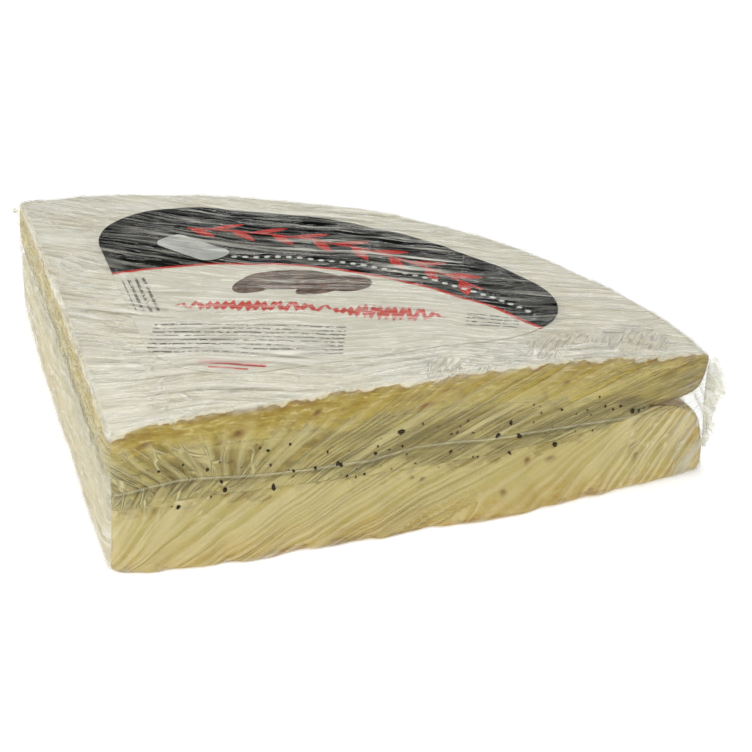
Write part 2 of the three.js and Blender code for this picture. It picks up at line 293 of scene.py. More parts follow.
def profile(levels, count):
    """A table of levels made fine: each column follows a Catmull-Rom curve through the table's rows."""
    table = np.asarray(levels, float)
    padded = np.vstack([2 * table[0] - table[1], table, 2 * table[-1] - table[-2]])
    t = np.linspace(0, len(table) - 1, count)
    k = np.minimum(t.astype(int), len(table) - 2)
    f = (t - k)[:, None]
    a, b, c, d = (padded[k + i] for i in range(4))
    return 0.5 * (2 * b + (c - a) * f + (2 * a - 5 * b + 4 * c - d) * f**2
                  + (3 * b - a - 3 * c + d) * f**3)


def wall(levels, height_at):
    """Rings of the outline, one for each level of radius, share and margin; the height comes from x, y
    and share."""
    rings = []
    for radius, share, margin in levels:
        plan = outline(margin, radius)
        rings.append(np.column_stack([plan, height_at(*plan.T, share)]))
    return np.array(rings)


def patch(ring):
    """Fills a ring by the Coons formula: blends of opposite sides, added, less the blend of the four
    corners."""
    n, m = FRONT_COUNT, LEFT_COUNT
    closed = np.vstack([ring, ring[:1]])
    front, rim_right = closed[: n + 1], closed[n : n + m + 1]
    rim_left, left = closed[n + m : 2 * n + m + 1][::-1], closed[2 * n + m :][::-1]
    u = np.linspace(0, 1, n + 1)[None, :, None]
    v = np.linspace(0, 1, m + 1)[:, None, None]
    sides = (1 - v) * front + v * rim_left + (1 - u) * left[:, None] + u * rim_right[:, None]
    corners = ((1 - u) * (1 - v) * front[0] + u * (1 - v) * front[-1]
               + (1 - u) * v * rim_left[0] + u * v * rim_left[-1])
    return sides - corners


def grid_edge(grid):
    """The points round a grid, each once: first row, last column, last row back, first column back."""
    return np.vstack([grid[0, :-1], grid[:-1, -1], grid[-1, :0:-1], grid[:0:-1, 0]])


print("points round an outline:", len(outline(0, WHEEL_RADIUS)))

# %% [markdown]
# ## From arrays to a mesh
# A surface is a grid of points with a second grid of two numbers, the crease coordinates, that
# say how far along and how far across the creases of the film a point lies. Surfaces of one piece
# are joined, and points at one place become one vertex.

# %% Mesh making
MERGE_STEP = 0.002


def grid_quads(rows, columns, closed=False):
    """Indices of a grid's quads, each counterclockwise seen from the side that columns x rows faces."""
    index = np.arange(rows * columns).reshape(rows, columns)
    if closed:
        index = np.column_stack([index, index[:, :1]])
    a, b = index[:-1, :-1], index[:-1, 1:]
    c, d = index[1:, 1:], index[1:, :-1]
    return np.stack([a, b, c, d], -1).reshape(-1, 4)


class Surface:
    """A grid of points with named values. Its crease coordinates are given at the points, or at the
    quads' corners. Quads can be given too, where the points aren't a grid."""

    def __init__(self, points, closed=False, flip=False, quads=None, crease=None, corners=None,
                 **values):
        rows, columns = points.shape[:2]
        self.points = points.reshape(-1, 3)
        self.rings = np.arange(rows * columns).reshape(rows, columns)
        self.quads = grid_quads(rows, columns, closed) if quads is None else quads
        if flip:
            self.quads = self.quads[:, ::-1]
        if crease is None:
            crease = np.zeros((rows, columns, 2))
        self.crease = crease.reshape(-1, 2)[self.quads] if corners is None else corners
        self.values = {key: np.broadcast_to(v, (rows, columns)).ravel() for key, v in values.items()}


def make_piece(name, surfaces, material, caps=(), replaces=()):
    """Joins surfaces into one mesh in the row's frame, merges equal places and hands the piece to the
    frame. A cap closes a ring by one face: the surface's number, the ring's row and the way round."""
    points = np.vstack([s.points for s in surfaces])
    starts = np.cumsum([0] + [len(s.points) for s in surfaces])
    quads = np.vstack([s.quads + start for s, start in zip(surfaces, starts)])
    creases = np.vstack([s.crease.reshape(-1, 4, 2) for s in surfaces])
    places = np.round(points / MERGE_STEP).astype(np.int64)
    _, first, same = np.unique(places, axis=0, return_index=True, return_inverse=True)
    same = same.ravel()
    faces = same[quads]
    whole = (faces[:, 0] != faces[:, 2]) & (faces[:, 1] != faces[:, 3])
    faces, creases = faces[whole], creases[whole]
    cap_faces = [same[starts[at] + surfaces[at].rings[row]][::way].tolist() for at, row, way in caps]
    mesh = bpy.data.meshes.new(name)
    place = to_row(settle(points[first]))
    mesh.from_pydata(place.tolist(), [], faces.tolist() + cap_faces)
    uv = mesh.uv_layers.new(name="crease").data
    flat = np.zeros(2 * len(mesh.loops))
    flat[: creases.size] = creases.ravel()
    uv.foreach_set("uv", flat)
    for key in surfaces[0].values:
        column = np.concatenate([s.values[key] for s in surfaces])[first]
        mesh.attributes.new(key, "FLOAT", "POINT").data.foreach_set("value", column.astype(np.float32))
    mesh.shade_smooth()
    mesh.materials.append(material)
    mesh.validate()
    piece = placed(name, mesh)
    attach(piece, "root")
    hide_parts(*replaces)
    print(f"{name}: {len(mesh.vertices)} points, {len(mesh.loops) - 2 * len(mesh.polygons)} triangles")


print("corners of a grid's first quad:", grid_quads(3, 3)[0])

# %% [markdown]
# ## Which way the film is creased
# On the front face the creases meet in one long line like a feather: above it they run up, below
# it they run down to the left. On the top they run in near parallels from the back left to the
# front right. Along and across numbers follow those lines, and both the film and the soft paste
# under it use them.

# %% Crease coordinates
SPINE_X = (0, 20, 45, 60, 75, 88, 100, 110, 130, 150, 180)
SPINE_Z = (22, 23.2, 20.8, 20.3, 20.2, 21.9, 21.7, 20.9, 21.2, 21.6, 23)
UPPER_X = (-20, 10, 20, 28, 34, 40, 50, 75, 100, 130, 200)
UPPER_TURN = (150, 142, 128, 112, 80, 46, 28, 21, 22, 20, 20)
LOWER_X = (-20, 14, 25, 40, 60, 90, 120, 145, 168, 260)
LOWER_TURN = (66, 56, 42, 30, 25, 21, 18, 17, 48, 75)
HALVINGS, BUNCHED_FROM = 24, 125
RIM_SHIFT, LEFT_SHIFT, TOP_SHIFT, CROSSING_SHIFT = 900, 600, 1500, 2500


def above_spine(x, z):
    return z - np.interp(x, SPINE_X, SPINE_Z)


def barb_root(x, z):
    """Where the crease through a point meets the spine: x less the height times the cotangent of the
    crease's turn at that root, found by halving steps. Also gives the height above the spine."""
    root = np.array(x, float)
    for _ in range(HALVINGS):
        rise = above_spine(root, z)
        upper, lower = np.interp(root, UPPER_X, UPPER_TURN), np.interp(root, LOWER_X, LOWER_TURN)
        turn = np.where(rise > 0, upper, lower)
        root = 0.5 * root + 0.5 * (x - rise / np.tan(np.radians(turn)))
    return root, above_spine(root, z)


def front_crease(x, y, z):
    """Along: the height over the spine. Across: the root, denser where the film is bunched."""
    root, rise = barb_root(x, z)
    return np.stack([rise * 1.5, root * 0.62 + 0.55 * np.maximum(root - BUNCHED_FROM, 0)], -1)


def left_crease(x, y, z):
    """Short wavy creases along the other cut face, drifting down towards the tip."""
    wave = 1.3 * noise(y / 8, z / 7, 94)
    return np.stack([y * 3.0, z * 0.95 + 0.12 * y + wave + LEFT_SHIFT], -1)


def rim_crease(x, y, z):
    """Creases that climb round the rim at a slant."""
    run = WHEEL_RADIUS * np.arctan2(y, x)
    return np.stack([z * 0.8 + 0.5 * run, 0.45 * run - 0.8 * z + RIM_SHIFT], -1)


def top_crease(x, y, z):
    """Across is y plus x times a slope that grows towards the back, so that it is level along each
    crease. Slow noise bends the creases, and near the right end they go astray."""
    astray = smooth((x - 95) / 30) * smooth((60 - y) / 30)
    bend = 5 * noise(x / 34, y / 30, 91) + 4.5 * noise(x / 15, y / 13, 92) * astray
    return np.stack([x - 0.3 * y, (y + x * (0.28 + 0.0042 * y) + bend) * 0.42 + TOP_SHIFT], -1)


def crossing_zone(x, y):
    """One in a strip along the front edge of the rind, from the middle to the right end."""
    return smooth((32 - y) / 16) * smooth((x - 75) / 25) * smooth((178 - x) / 10)


def top_corners(points):
    """The crease coordinates at the corners of a roof's quads. In small patches near the front edge,
    where noise is high, short creases cross the long ones."""
    x, y, z = axes(points)
    quads = grid_quads(*points.shape[:2])
    long_way = top_crease(x, y, z).reshape(-1, 2)[quads]
    crossing = np.stack([y + 0.6 * x, x * 0.6 - 0.45 * y + CROSSING_SHIFT], -1).reshape(-1, 2)[quads]
    crossed = noise(x / 11, y / 7, 97) + crossing_zone(x, y) > 1.2
    return np.where(crossed.ravel()[quads[:, 0]][:, None, None], crossing, long_way)


def side_creases(points):
    """The crease coordinates by the rules of the front face, the rim and the left face, three arrays."""
    return [crease(*axes(points)) for crease in (front_crease, rim_crease, left_crease)]


def wall_crease(points):
    """The crease coordinates at the corners of a wall's quads, by the side that each quad belongs to."""
    rows, columns = points.shape[:2]
    quads = grid_quads(rows, columns, closed=True)
    side = np.digitize(quads[:, 0] % columns, (FRONT_COUNT, 2 * FRONT_COUNT + LEFT_COUNT))
    at_corners = [crease.reshape(-1, 2)[quads] for crease in side_creases(points)]
    return np.choose(side[:, None, None], at_corners)


roots = barb_root(np.array([20.0, 80.0, 140.0]), 30.0)[0]
print("creases through three points meet the spine at x =", roots.round(1))

# %% [markdown]
# ## Wiring a material
# A material is a small graph. `Shader` adds nodes, sets plain values on their sockets and wires
# whatever else is given. Patterns read Object coordinates, the crease map or a named value.

# %% Shader helper
class Shader:
    """A material under construction. Each method adds a node and returns the socket to wire on."""

    def __init__(self, name):
        self.material = bpy.data.materials.new(name)
        self.material.use_nodes = True
        self.tree = self.material.node_tree
        self.tree.nodes.clear()

    def put(self, kind, sockets=None, out=0, **settings):
        node = self.tree.nodes.new("ShaderNode" + kind)
        for key, value in settings.items():
            setattr(node, key, value)
        for key, value in (sockets or {}).items():
            if isinstance(value, bpy.types.NodeSocket):
                self.tree.links.new(value, node.inputs[key])
            else:
                node.inputs[key].default_value = value
        return node.outputs[out] if node.outputs else None

    def math(self, operation, a, b=0.0):
        return self.put("Math", {0: a, 1: b}, operation=operation)

    plus, minus = partialmethod(math, "ADD"), partialmethod(math, "SUBTRACT")
    times, larger = partialmethod(math, "MULTIPLY"), partialmethod(math, "MAXIMUM")

    def vectors(self, operation, a, b):
        return self.put("VectorMath", {0: a, 1: b}, operation=operation)

    def span(self, value, low, high, to_low=0.0, to_high=1.0):
        """Value from low..high to to_low..to_high along the smooth curve, held at both ends."""
        sockets = {"Value": value, "From Min": low, "From Max": high, "To Min": to_low,
                   "To Max": to_high}
        return self.put("MapRange", sockets, interpolation_type="SMOOTHSTEP")

    def mix(self, share, a, b):
        return self.put("Mix", {0: share, 6: a, 7: b}, out=2, data_type="RGBA")

    def paint(self, color, *layers):
        """Lays colours over one another. Each layer is its share and its colour."""
        for share, layer in layers:
            color = self.mix(share, color, layer)
        return color

    def place(self, scale=(1, 1, 1)):
        """Object coordinates in millimetres, stretched by scale."""
        vector = self.put("TexCoord", out=3)
        return self.put("Mapping", {"Vector": vector, "Scale": [1000 * s for s in scale]})

    def noise(self, vector, scale=1.0, detail=2.0, roughness=0.5, distortion=0.0):
        sockets = {"Vector": vector, "Scale": scale, "Detail": detail, "Roughness": roughness,
                   "Distortion": distortion}
        return self.put("TexNoise", sockets)

    def grain(self, scale, *settings):
        """Noise over the piece's millimetres. Three scales stretch it along the axes."""
        if isinstance(scale, tuple):
            return self.noise(self.place(scale), 1.0, *settings)
        return self.noise(self.place(), scale, *settings)

    def value(self, name):
        return self.put("Attribute", out=2, attribute_name=name)

    def bump(self, height, distance, normal=None):
        sockets = {"Height": height, "Distance": distance, "Strength": 1.0}
        if normal is not None:
            sockets["Normal"] = normal
        return self.put("Bump", sockets)

    def finish(self, surface):
        self.put("OutputMaterial", {"Surface": surface})
        print(f"material {self.material.name}: {len(self.tree.nodes)} nodes")
        return self.material

    def solid(self, color, roughness, **more):
        """Ends the material with a principled surface. Socket names are given with _ for a space."""
        sockets = {key.replace("_", " "): value for key, value in more.items()}
        return self.finish(self.put("BsdfPrincipled", {"Base Color": color, "Roughness": roughness,
                                                       **sockets}))


def rgb(red, green, blue):
    """A colour as the screen shows it, 0 to 255, as the linear colour that shaders use."""
    c = np.array([red, green, blue]) / 255
    linear = np.where(c <= 0.04045, c / 12.92, ((c + 0.055) / 1.055) ** 2.4)
    return (*linear.tolist(), 1.0)


print("a middle grey of the screen is", round(rgb(128, 128, 128)[0], 3), "in linear light")

# %% [markdown]
# ## Creases as a pattern
# The film's folds are the edges of a net of long cells, laid over the crease coordinates. Whatever is
# seen through the film gets a painted highlight along the folds and a painted shade beside them.

# %% Creases in a material
LONG_FOLDS, SHORT_FOLDS, CRUMPLED_FOLDS = (0.016, 0.48), (0.04, 1.0), (0.075, 0.52)


class CreasedShader(Shader):
    """A material that lies in creased film or is seen through it."""

    def laid(self, vector, along_scale, across_scale, shift=0.0):
        """Crease coordinates, stretched along and across, and moved across by the shift."""
        return self.put("Mapping", {"Vector": vector, "Scale": (along_scale, across_scale, 1),
                                    "Location": (0, shift, 0)})

    def crease(self, along_scale, across_scale):
        return self.laid(self.put("UVMap", uv_map="crease"), along_scale, across_scale)

    def net(self, scales, shift=0.0):
        """How far a point is from the edges of a net of long cells that lie along the creases. Slow
        noise bends it, and a shift moves the net across itself."""
        bend = self.put("TexNoise", {"Vector": self.place(), "Scale": 0.05, "Detail": 1.0}, out=1)
        bend = self.vectors("SUBTRACT", bend, (0.5, 0.5, 0.5))
        bend = self.vectors("MULTIPLY", bend, (2.0, 1.8, 0.0))
        bent = self.vectors("ADD", self.put("UVMap", uv_map="crease"), bend)
        return self.put("TexVoronoi", {"Vector": self.laid(bent, *scales, shift), "Scale": 1.0},
                        feature="DISTANCE_TO_EDGE", voronoi_dimensions="2D")

    def creases(self, density=1.0):
        """The film's creases: facets between folds, thin ridges where they meet, and a valley on one
        side of the longer ridges, where creased() puts its painted shade. Ridges fade in and out in
        patches."""
        scales = LONG_FOLDS[0], LONG_FOLDS[1] * density
        long_folds, beside = self.net(scales), self.net(scales, 0.15)
        short_folds = self.net(SHORT_FOLDS)
        fade = self.span(self.noise(self.crease(0.05, 0.16)), 0.38, 0.62, 0.1, 1.0)
        patches = self.span(self.grain(0.07), 0.42, 0.6)
        ridge = self.times(self.span(long_folds, 0.02, 0.12 / density, 1.0, 0.0), fade)
        short = self.times(self.span(short_folds, 0.04, 0.16, 0.45, 0.0), patches)
        valley = self.times(self.span(beside, 0.02, 0.14 / density, 1.0, 0.0), fade)
        facets = self.plus(self.math("MINIMUM", long_folds, 0.35),
                           self.times(short_folds, self.times(patches, 0.15)))
        return self.larger(ridge, short), valley, facets

    def streaks(self):
        """Long soft streaks in which the film is gathered, many side by side: a noise stretched along
        the creases."""
        sheen = self.noise(self.crease(0.014, 0.36), 1.0, 4, 0.62, 0.15)
        gathered = self.span(self.grain(0.028), 0.38, 0.62, 0.25, 1.0)
        return self.times(self.span(sheen, 0.48, 0.66), gathered)

    def creased(self, color, light, dark, strength, shade, density=1.0):
        """A colour with the creases' light and shade painted into it: paler towards the ridges by
        strength, as a painted highlight, and darker in the valleys by shade, as a painted shade. Where
        the value called crumple is high, short folds come on top, with their own painted highlight and
        shade."""
        ridge, valley, facets = self.creases(density)
        cells = self.net(CRUMPLED_FOLDS, 0.4)
        broken = self.span(self.grain(0.22), 0.40, 0.56)
        here = self.times(self.value("crumple"), broken)
        ridge = self.larger(ridge, self.times(self.span(cells, 0.02, 0.13, 2.2, 0.0), here))
        valley = self.larger(valley, self.times(self.span(cells, 0.14, 0.36, 0.0, 1.1), here))
        # painted shade in the valleys, painted highlight on the facets near the folds and on the ridges
        color = self.paint(color, (self.times(valley, 0.25 * shade), dark),
                           (self.span(facets, 0.05, 0.40, 0.28 * strength, 0.0), light),
                           (self.times(ridge, 0.30 * strength), light))
        return color, self.minus(self.plus(ridge, self.times(facets, 2.0)), valley)


cell = [round(1 / scale, 1) for scale in LONG_FOLDS]
print("a cell between long folds is", cell, "along and across, in crease coordinates")

# %% [markdown]
# ## Paste and rind
# The cut faces are pale yellow paste, darker and golden just under the rind, with brown specks in
# its small holes. The rind is a dry white bloom with grey and straw-coloured patches. A value
# called `depth` holds the distance in millimetres from the rind: above nought on a cut face and
# below it on the rind, so one material can paint a crisp uneven border.

# %% Cheese material
FINE_BUMP, FLESH_DEPTH = 0.0002, 0.003


def wander(s, low, high):
    """How far the seam between paste and cream strays, in millimetres."""
    return s.span(s.grain((0.16, 0.16, 0.3), 5, 0.65), 0.3, 0.7, low, high)


def cream_color(s):
    """Olive cream with cloudy lighter smears, darker blotches and fine dust, each blended in by a
    noise of its own."""
    cloud = s.grain((0.12, 0.12, 0.22), 5, 0.68, 0.8)
    blotch = s.grain((0.3, 0.3, 0.55), 4, 0.7, 1.2)
    dust = s.grain(1.1, 4, 0.75)
    color = s.mix(s.span(cloud, 0.38, 0.62), rgb(137, 116, 42), rgb(177, 159, 79))
    return s.paint(color, (s.span(blotch, 0.45, 0.32, 0.0, 0.6), rgb(104, 88, 30)),
                   (s.span(dust, 0.56, 0.74, 0.0, 0.45), rgb(108, 97, 58)))


def paste_color(s, depth, broad, paste, paste_dark, gold, ragged_share):
    """Paste with streaks along the creases. Under the rind lie a golden band, brown lumps, pale lumps of
    rind painted lighter as moist highlights, and a dark fringe. Past the seam comes the cream, and the
    small holes are brown."""
    streak = s.span(s.noise(s.crease(0.05, 0.6), 1.0, 3, 0.6), 0.35, 0.7, -0.35, 0.35)
    body = s.mix(s.plus(s.times(streak, s.value("strain")), 0.5), paste_dark, paste)
    drift = s.grain((0.11, 0.11, 0.62), 5, 0.68, 0.5)
    crags_and_glints = s.grain((0.26, 0.26, 1.15), 4, 0.72, 0.5)
    near_rind = s.span(depth, 1.0, 11.0, ragged_share, 0.15 * ragged_share)
    band = s.times(s.span(depth, 2.0, 10.0, 1.0, 0.0), s.span(drift, 0.36, 0.58, 0.25, 1.0))
    brown = s.times(s.span(depth, 0.2, 6.0, 1.0, 0.0), s.span(drift, 0.50, 0.64))
    fringe = s.times(s.span(depth, 0.1, 1.8, 0.9, 0.0), s.span(drift, 0.40, 0.54, 0.2, 1.0))
    past_seam = s.span(s.minus(s.value("seam"), wander(s, -2.4, 3.0)), 0.2, 1.8, 0.9, 0.0)
    return s.paint(body, (s.span(broad, 0.35, 0.7, 0.0, 0.35), paste), (band, gold),
                   (s.times(brown, 0.75 * ragged_share), rgb(146, 111, 24)),
                   # pale crags near the rind: rind lumps painted lighter as moist highlights
                   (s.times(s.span(crags_and_glints, 0.53, 0.66, 0.0, 0.75), near_rind), rgb(226, 210, 146)),
                   (s.times(s.span(crags_and_glints, 0.46, 0.36, 0.0, 0.80), near_rind), rgb(132, 102, 18)),
                   (fringe, rgb(136, 99, 20)), (past_seam, cream_color(s)),
                   (s.value("pit"), rgb(128, 78, 12)))


def bloom_color(s, depth, broad, fine, ragged):
    """White bloom with straw-coloured spots, pale dust, a warm edge and golden wet places."""
    spots = s.grain(0.16, 4, 0.7)
    golden = s.mix(s.span(ragged, 0.4, 0.6), rgb(160, 122, 40), rgb(198, 170, 96))
    bloom = s.mix(s.span(broad, 0.35, 0.65), rgb(230, 226, 210), rgb(221, 214, 191))
    return s.paint(bloom, (s.span(spots, 0.58, 0.72, 0.0, 0.4), rgb(198, 185, 144)),
                   (s.span(fine, 0.55, 0.8, 0.0, 0.35), rgb(240, 238, 228)),
                   (s.span(depth, -2.5, 0.0, 0.0, 0.45), rgb(208, 188, 120)),
                   (s.times(s.value("wet"), 0.85), golden))


def cheese_material(name, paste, paste_dark, gold, ragged_share, creasing):
    """Bloom where the depth is under nought, else paste, both seen through creased film, whose light and
    shade are painted into the colour. The creasing is the painted highlights' strength, the painted
    shade's strength, the colour of that painted shade in the valleys, how dense the creases are and how
    high in metres."""
    s = CreasedShader(name)
    ragged, broad = s.grain(0.14, 3, 0.6), s.grain(0.06, 3, 0.6)
    fine = s.grain(0.9, 4, 0.6)
    depth = s.plus(s.value("depth"), s.span(ragged, 0.3, 0.7, -1.6, 1.4))
    is_rind = s.span(depth, 0.25, -0.25)
    color = s.mix(is_rind, paste_color(s, depth, broad, paste, paste_dark, gold, ragged_share),
                  bloom_color(s, depth, broad, fine, ragged))
    strength, shade, valley_shade_color, density, relief = creasing
    # painted highlight colour of the crease ridges and painted shade colour of their valleys, for paste
    # and for rind
    light = s.mix(is_rind, rgb(236, 225, 178), rgb(240, 237, 224))
    dark = s.mix(is_rind, valley_shade_color, rgb(192, 184, 158))
    crease_painted_color, height = s.creased(color, light, dark, strength, shade, density)
    normal = s.bump(s.times(height, s.value("strain")), relief, s.bump(fine, FINE_BUMP))
    # strain sets how much of the painted crease highlight and shade goes into the colour
    return s.solid(s.mix(s.value("strain"), color, crease_painted_color), 0.5, Normal=normal, Subsurface_Weight=0.1,
                   Subsurface_Radius=(1.0, 0.6, 0.25), Subsurface_Scale=FLESH_DEPTH,
                   Specular_IOR_Level=0.35)


# creasing: painted highlight strength, painted shade strength, painted valley shade colour, density,
# relief
top_paste = cheese_material("top_half_paste", rgb(194, 175, 84), rgb(170, 148, 55), rgb(166, 139, 31),
                            1.0, (1.3, 1.3, rgb(140, 108, 30), 1.0, 0.0005))
bottom_paste = cheese_material("bottom_half_paste", rgb(198, 181, 109), rgb(180, 161, 89),
                               rgb(188, 158, 75), 0.25,
                               (1.35, 1.2, rgb(170, 134, 60), 0.6, 0.00025))

# %% [markdown]
# ## The two halves
# Each half is a wall of many levels, closed by the rind's broad face on one side and by a plain
# face on the side that the filling hides. Levels give the rim's profile: shoulder, wall, lip and
# the groove between the halves. The cut faces are uneven and have small holes.

# %% Profiles and the relief of the cut faces
BOTTOM_ROWS, TOP_ROWS = 44, 32
BOTTOM_LEVELS = (  # radius, share of the height, margin
    (179, 0, 1.4), (181, 0.07, 0.2), (181.5, 0.3, 0), (180.7, 0.55, 0),
    (179.4, 0.75, 0), (177.3, 0.87, 0), (173.3, 0.96, 0), (167, 1, 0.08))
TOP_LEVELS = (
    (167, 0, 0.08), (173, 0.1, 0), (176.8, 0.19, 0), (179, 0.31, 0),
    (180.4, 0.55, 0), (181.1, 0.84, 0), (180.9, 0.95, 0.1), (179.8, 1, 0.4))
PITS = (  # along the front face, height, length, thickness, turn in degrees
    (37, 33.6, 1.6, 0.9, 10), (24, 31.8, 1.8, 0.7, -20), (30, 31.2, 3.0, 0.5, 24),
    (10.5, 35, 1.8, 0.5, 5), (92, 33.4, 3.0, 0.5, 8), (154.5, 25.2, 0.8, 1.5, 20),
    (122.5, 13.6, 1.0, 0.9, 0), (130, 13, 1.5, 0.5, 5), (114, 6.6, 1.0, 0.7, -20),
    (90, 12.8, 0.7, 0.5, 0), (156.3, 12.6, 1.8, 0.5, 50), (158, 9.8, 0.8, 0.6, 0),
    (142.5, 2.2, 1.2, 0.5, 10), (60, 35.5, 1.2, 0.5, 20), (135, 34.5, 1.6, 0.4, 12),
    (161.5, 24.3, 4.5, 1.1, 6), (153, 27.2, 3.5, 0.6, 14), (168, 25.6, 3, 0.8, 12))
FACE_FADE, PIT_FADE = 4, 1.5
HIDDEN_MIDDLE, HIDDEN_SCALES = np.array([63.0, 63.0]), (0.9, 0.6, 0.3)


def cos_sin(degrees):
    return math.cos(math.radians(degrees)), math.sin(math.radians(degrees))


def turned(x, y, cx, cy, degrees):
    """Coordinates along and across a line through (cx, cy)."""
    c, s = cos_sin(degrees)
    return (x - cx) * c + (y - cy) * s, -(x - cx) * s + (y - cy) * c


def pit_mask(x, y, z):
    """One in each small hole of the front face, fading out: a Gaussian of the turned and scaled
    distance."""
    mask = np.zeros(x.shape)
    for px, pz, length, thick, angle in PITS:
        u, v = turned(x, z, px, pz, angle)
        mask = np.maximum(mask, np.exp(-((u / length) ** 2) - (v / thick) ** 2))
    return mask * np.exp(-np.maximum(y, 0) / PIT_FADE)


def pressed_in(points, amount):
    """Points of the two cut faces moved inwards. The move fades away from each face."""
    x, y, z = axes(points)
    return points + np.stack([amount * np.exp(-x / FACE_FADE), amount * np.exp(-y / FACE_FADE),
                              0 * z], -1)


def paste_relief(points, face_share):
    """Moves the cut faces in and out: slow swells, small crags and the holes, the deepest about a
    millimetre."""
    x, y, z = axes(points)
    run = x + y
    swell = 0.35 * noise(run / 14, z / 9, 3) + 0.16 * rough(run / 3.2, z / 2.2, 11)
    inward = np.clip(swell, -0.25, 0.6) + 0.9 * pit_mask(x, y, z)
    return pressed_in(points, inward * face_share)


holes = sum(pit_mask(np.array([px]), 0, pz).item() > 0.99 for px, pz, *_ in PITS)
print(holes, "holes, each deepest at its own place")

# %% [markdown]
# The film presses on the paste more in some places than in others. Two measures say where: how far it is
# crumpled into short folds, and how hard it is drawn over the cheese. Both set how strongly the creases'
# painted highlights and painted shade show, and how deep their bump is.

# %% Crumpled and drawn film
def left_share(x, y):
    """One on the left cut face, fading to nought round its corner with the rim."""
    return smooth((16 - x) / 12) * (x < y)


def crumple(x, y, z):
    """How far short folds crumple the film: on the left face, near the tip at the cream's height, and
    at the front face's other end."""
    by_tip = 1.3 * smooth((58 - x) / 34) * np.exp(-(((z - 24) / 11) ** 2))
    at_end = 0.75 * smooth((x - 132) / 30) * smooth((x - y - 20) / 20)
    return np.maximum.reduce([by_tip, at_end, left_share(x, y)])


def top_strain(x, y, z):
    """How hard the film is drawn over the top half: little near the tip, fully from the middle of the
    front face on, and hard over the seam with the cream, a Gaussian of uneven width."""
    reach = 3.2 * (1 + 0.6 * noise(x / 6, z / 3, 95))
    over_seam = 0.8 * np.exp(-(((z - roof_height(x, y)) / reach) ** 2))
    front = np.maximum(0.10 + 0.42 * smooth((x + 0.8 * y - 60) / 40), over_seam)
    return front + (0.85 - front) * left_share(x, y)


def bottom_strain(x):
    """The same over the bottom half: strong from the tip, weaker past the middle, strong again at the
    far end."""
    return 0.8 - 0.3 * smooth((x - 75) / 45) + 0.45 * smooth((x - 135) / 25)


print("drawn over the lower half at 0, 90 and 180 mm:", bottom_strain(np.array([0, 90, 180])))

# %% [markdown]
# The lower half stands on a flat foot. Its wall carries the named values that the material reads.

# %% Bottom half
def half_wall(levels, height_at, rind_height, seam_height, count):
    """The wall of one half and its values: depth from the rind, distance from the seam with the cream,
    how golden the rind is (near the cut faces and in the groove), holes and crumpled film."""
    fine = profile(levels, count)
    points = wall(fine, height_at)
    x, y, z = axes(points)
    rind_depth = np.minimum(np.abs(rind_height - z), fine[:, :1] - np.hypot(x, y))
    seam = np.abs(z - seam_height(x, y))
    wet = np.maximum(smooth(1.1 - np.minimum(x, y) / 8), 0.8 * smooth((177 - np.hypot(x, y)) / 8))
    values = {"depth": rind_depth - np.maximum(np.minimum(x, y), 0) * 1.5, "seam": seam,
              "wet": wet * smooth((37 - z) / 3), "pit": pit_mask(x, y, z), "crumple": crumple(x, y, z)}
    return paste_relief(points, smooth(rind_depth / 4) * smooth(seam / 3)), values


def middle_rings(ring, height, *share):
    """Hidden face: the ring drawn towards its middle, at the layer's own height."""
    rings = [ring]
    for scale in HIDDEN_SCALES:
        plan = HIDDEN_MIDDLE + (ring[:, :2] - HIDDEN_MIDDLE) * scale
        rings.append(np.column_stack([plan, height(*plan.T, *share)]))
    return np.array(rings)


def bottom_height(x, y, share):
    return share * floor_height(x, y)


bottom_wall, values = half_wall(BOTTOM_LEVELS, bottom_height, 0.0, floor_height, BOTTOM_ROWS)
hidden_values = dict.fromkeys(("seam", "wet", "pit", "crumple", "strain"), 0.0)
make_piece("brie_bottom_half", [
    Surface(bottom_wall, closed=True, corners=wall_crease(bottom_wall),
            strain=bottom_strain(bottom_wall[..., 0]), **values),
    Surface(middle_rings(bottom_wall[-1], floor_height), closed=True, depth=5.0, **hidden_values),
], bottom_paste, replaces=["brie_bottom"], caps=[(0, 0, -1), (1, -1, 1)])

# %% [markdown]
# The top half ends in the rind, a broad face with small bumps. Its underside follows the filling.

# %% Top half
def top_height(x, y, share):
    low = roof_height(x, y)
    return low + share * (RIM_HEIGHT - low)


def inside_share(x, y, radius, width):
    """Nought at the edge of a face inside the outline, one from a width inwards."""
    return smooth(np.minimum(np.minimum(x, y), radius - np.hypot(x, y)) / width)


def raised(points, height):
    """Points moved up by a height."""
    return points + height[..., None] * np.array([0, 0, 1])


top_wall, values = half_wall(TOP_LEVELS, top_height, RIM_HEIGHT, roof_height, TOP_ROWS)
rind = patch(top_wall[-1])
x, y, z = axes(rind)
rind = raised(rind, inside_share(x, y, TOP_LEVELS[-1][0], 5) * (0.10 * rough(x / 3, y / 3, 31) - 0.05))
rind_patches = smooth(0.3 + 1.4 * noise(x / 24, y / 22, 96))
make_piece("brie_top_half", [
    Surface(top_wall, closed=True, corners=wall_crease(top_wall), strain=top_strain(*axes(top_wall)),
            **values),
    Surface(middle_rings(top_wall[0], roof_height), closed=True, flip=True, depth=5.0,
            **hidden_values),
    Surface(rind, corners=top_corners(rind), depth=-1.5 * np.maximum(np.minimum(x, y), 0),
            crumple=np.maximum(crossing_zone(x, y), 0.8 * rind_patches),
            seam=9.0, wet=0.0, pit=0.0, strain=0.7),
], top_paste, replaces=["brie_top"], caps=[(1, -1, -1)])

# %% [markdown]
# ## The truffle cream
# A greyish cream between the halves, soft and a little wet. Its own surface is a wall with two
# hidden faces. The truffle is the dark grey-brown of shavings: larger bits stand out of the cut
# faces at fixed fractions of the length, and small crumbs fill the rest.

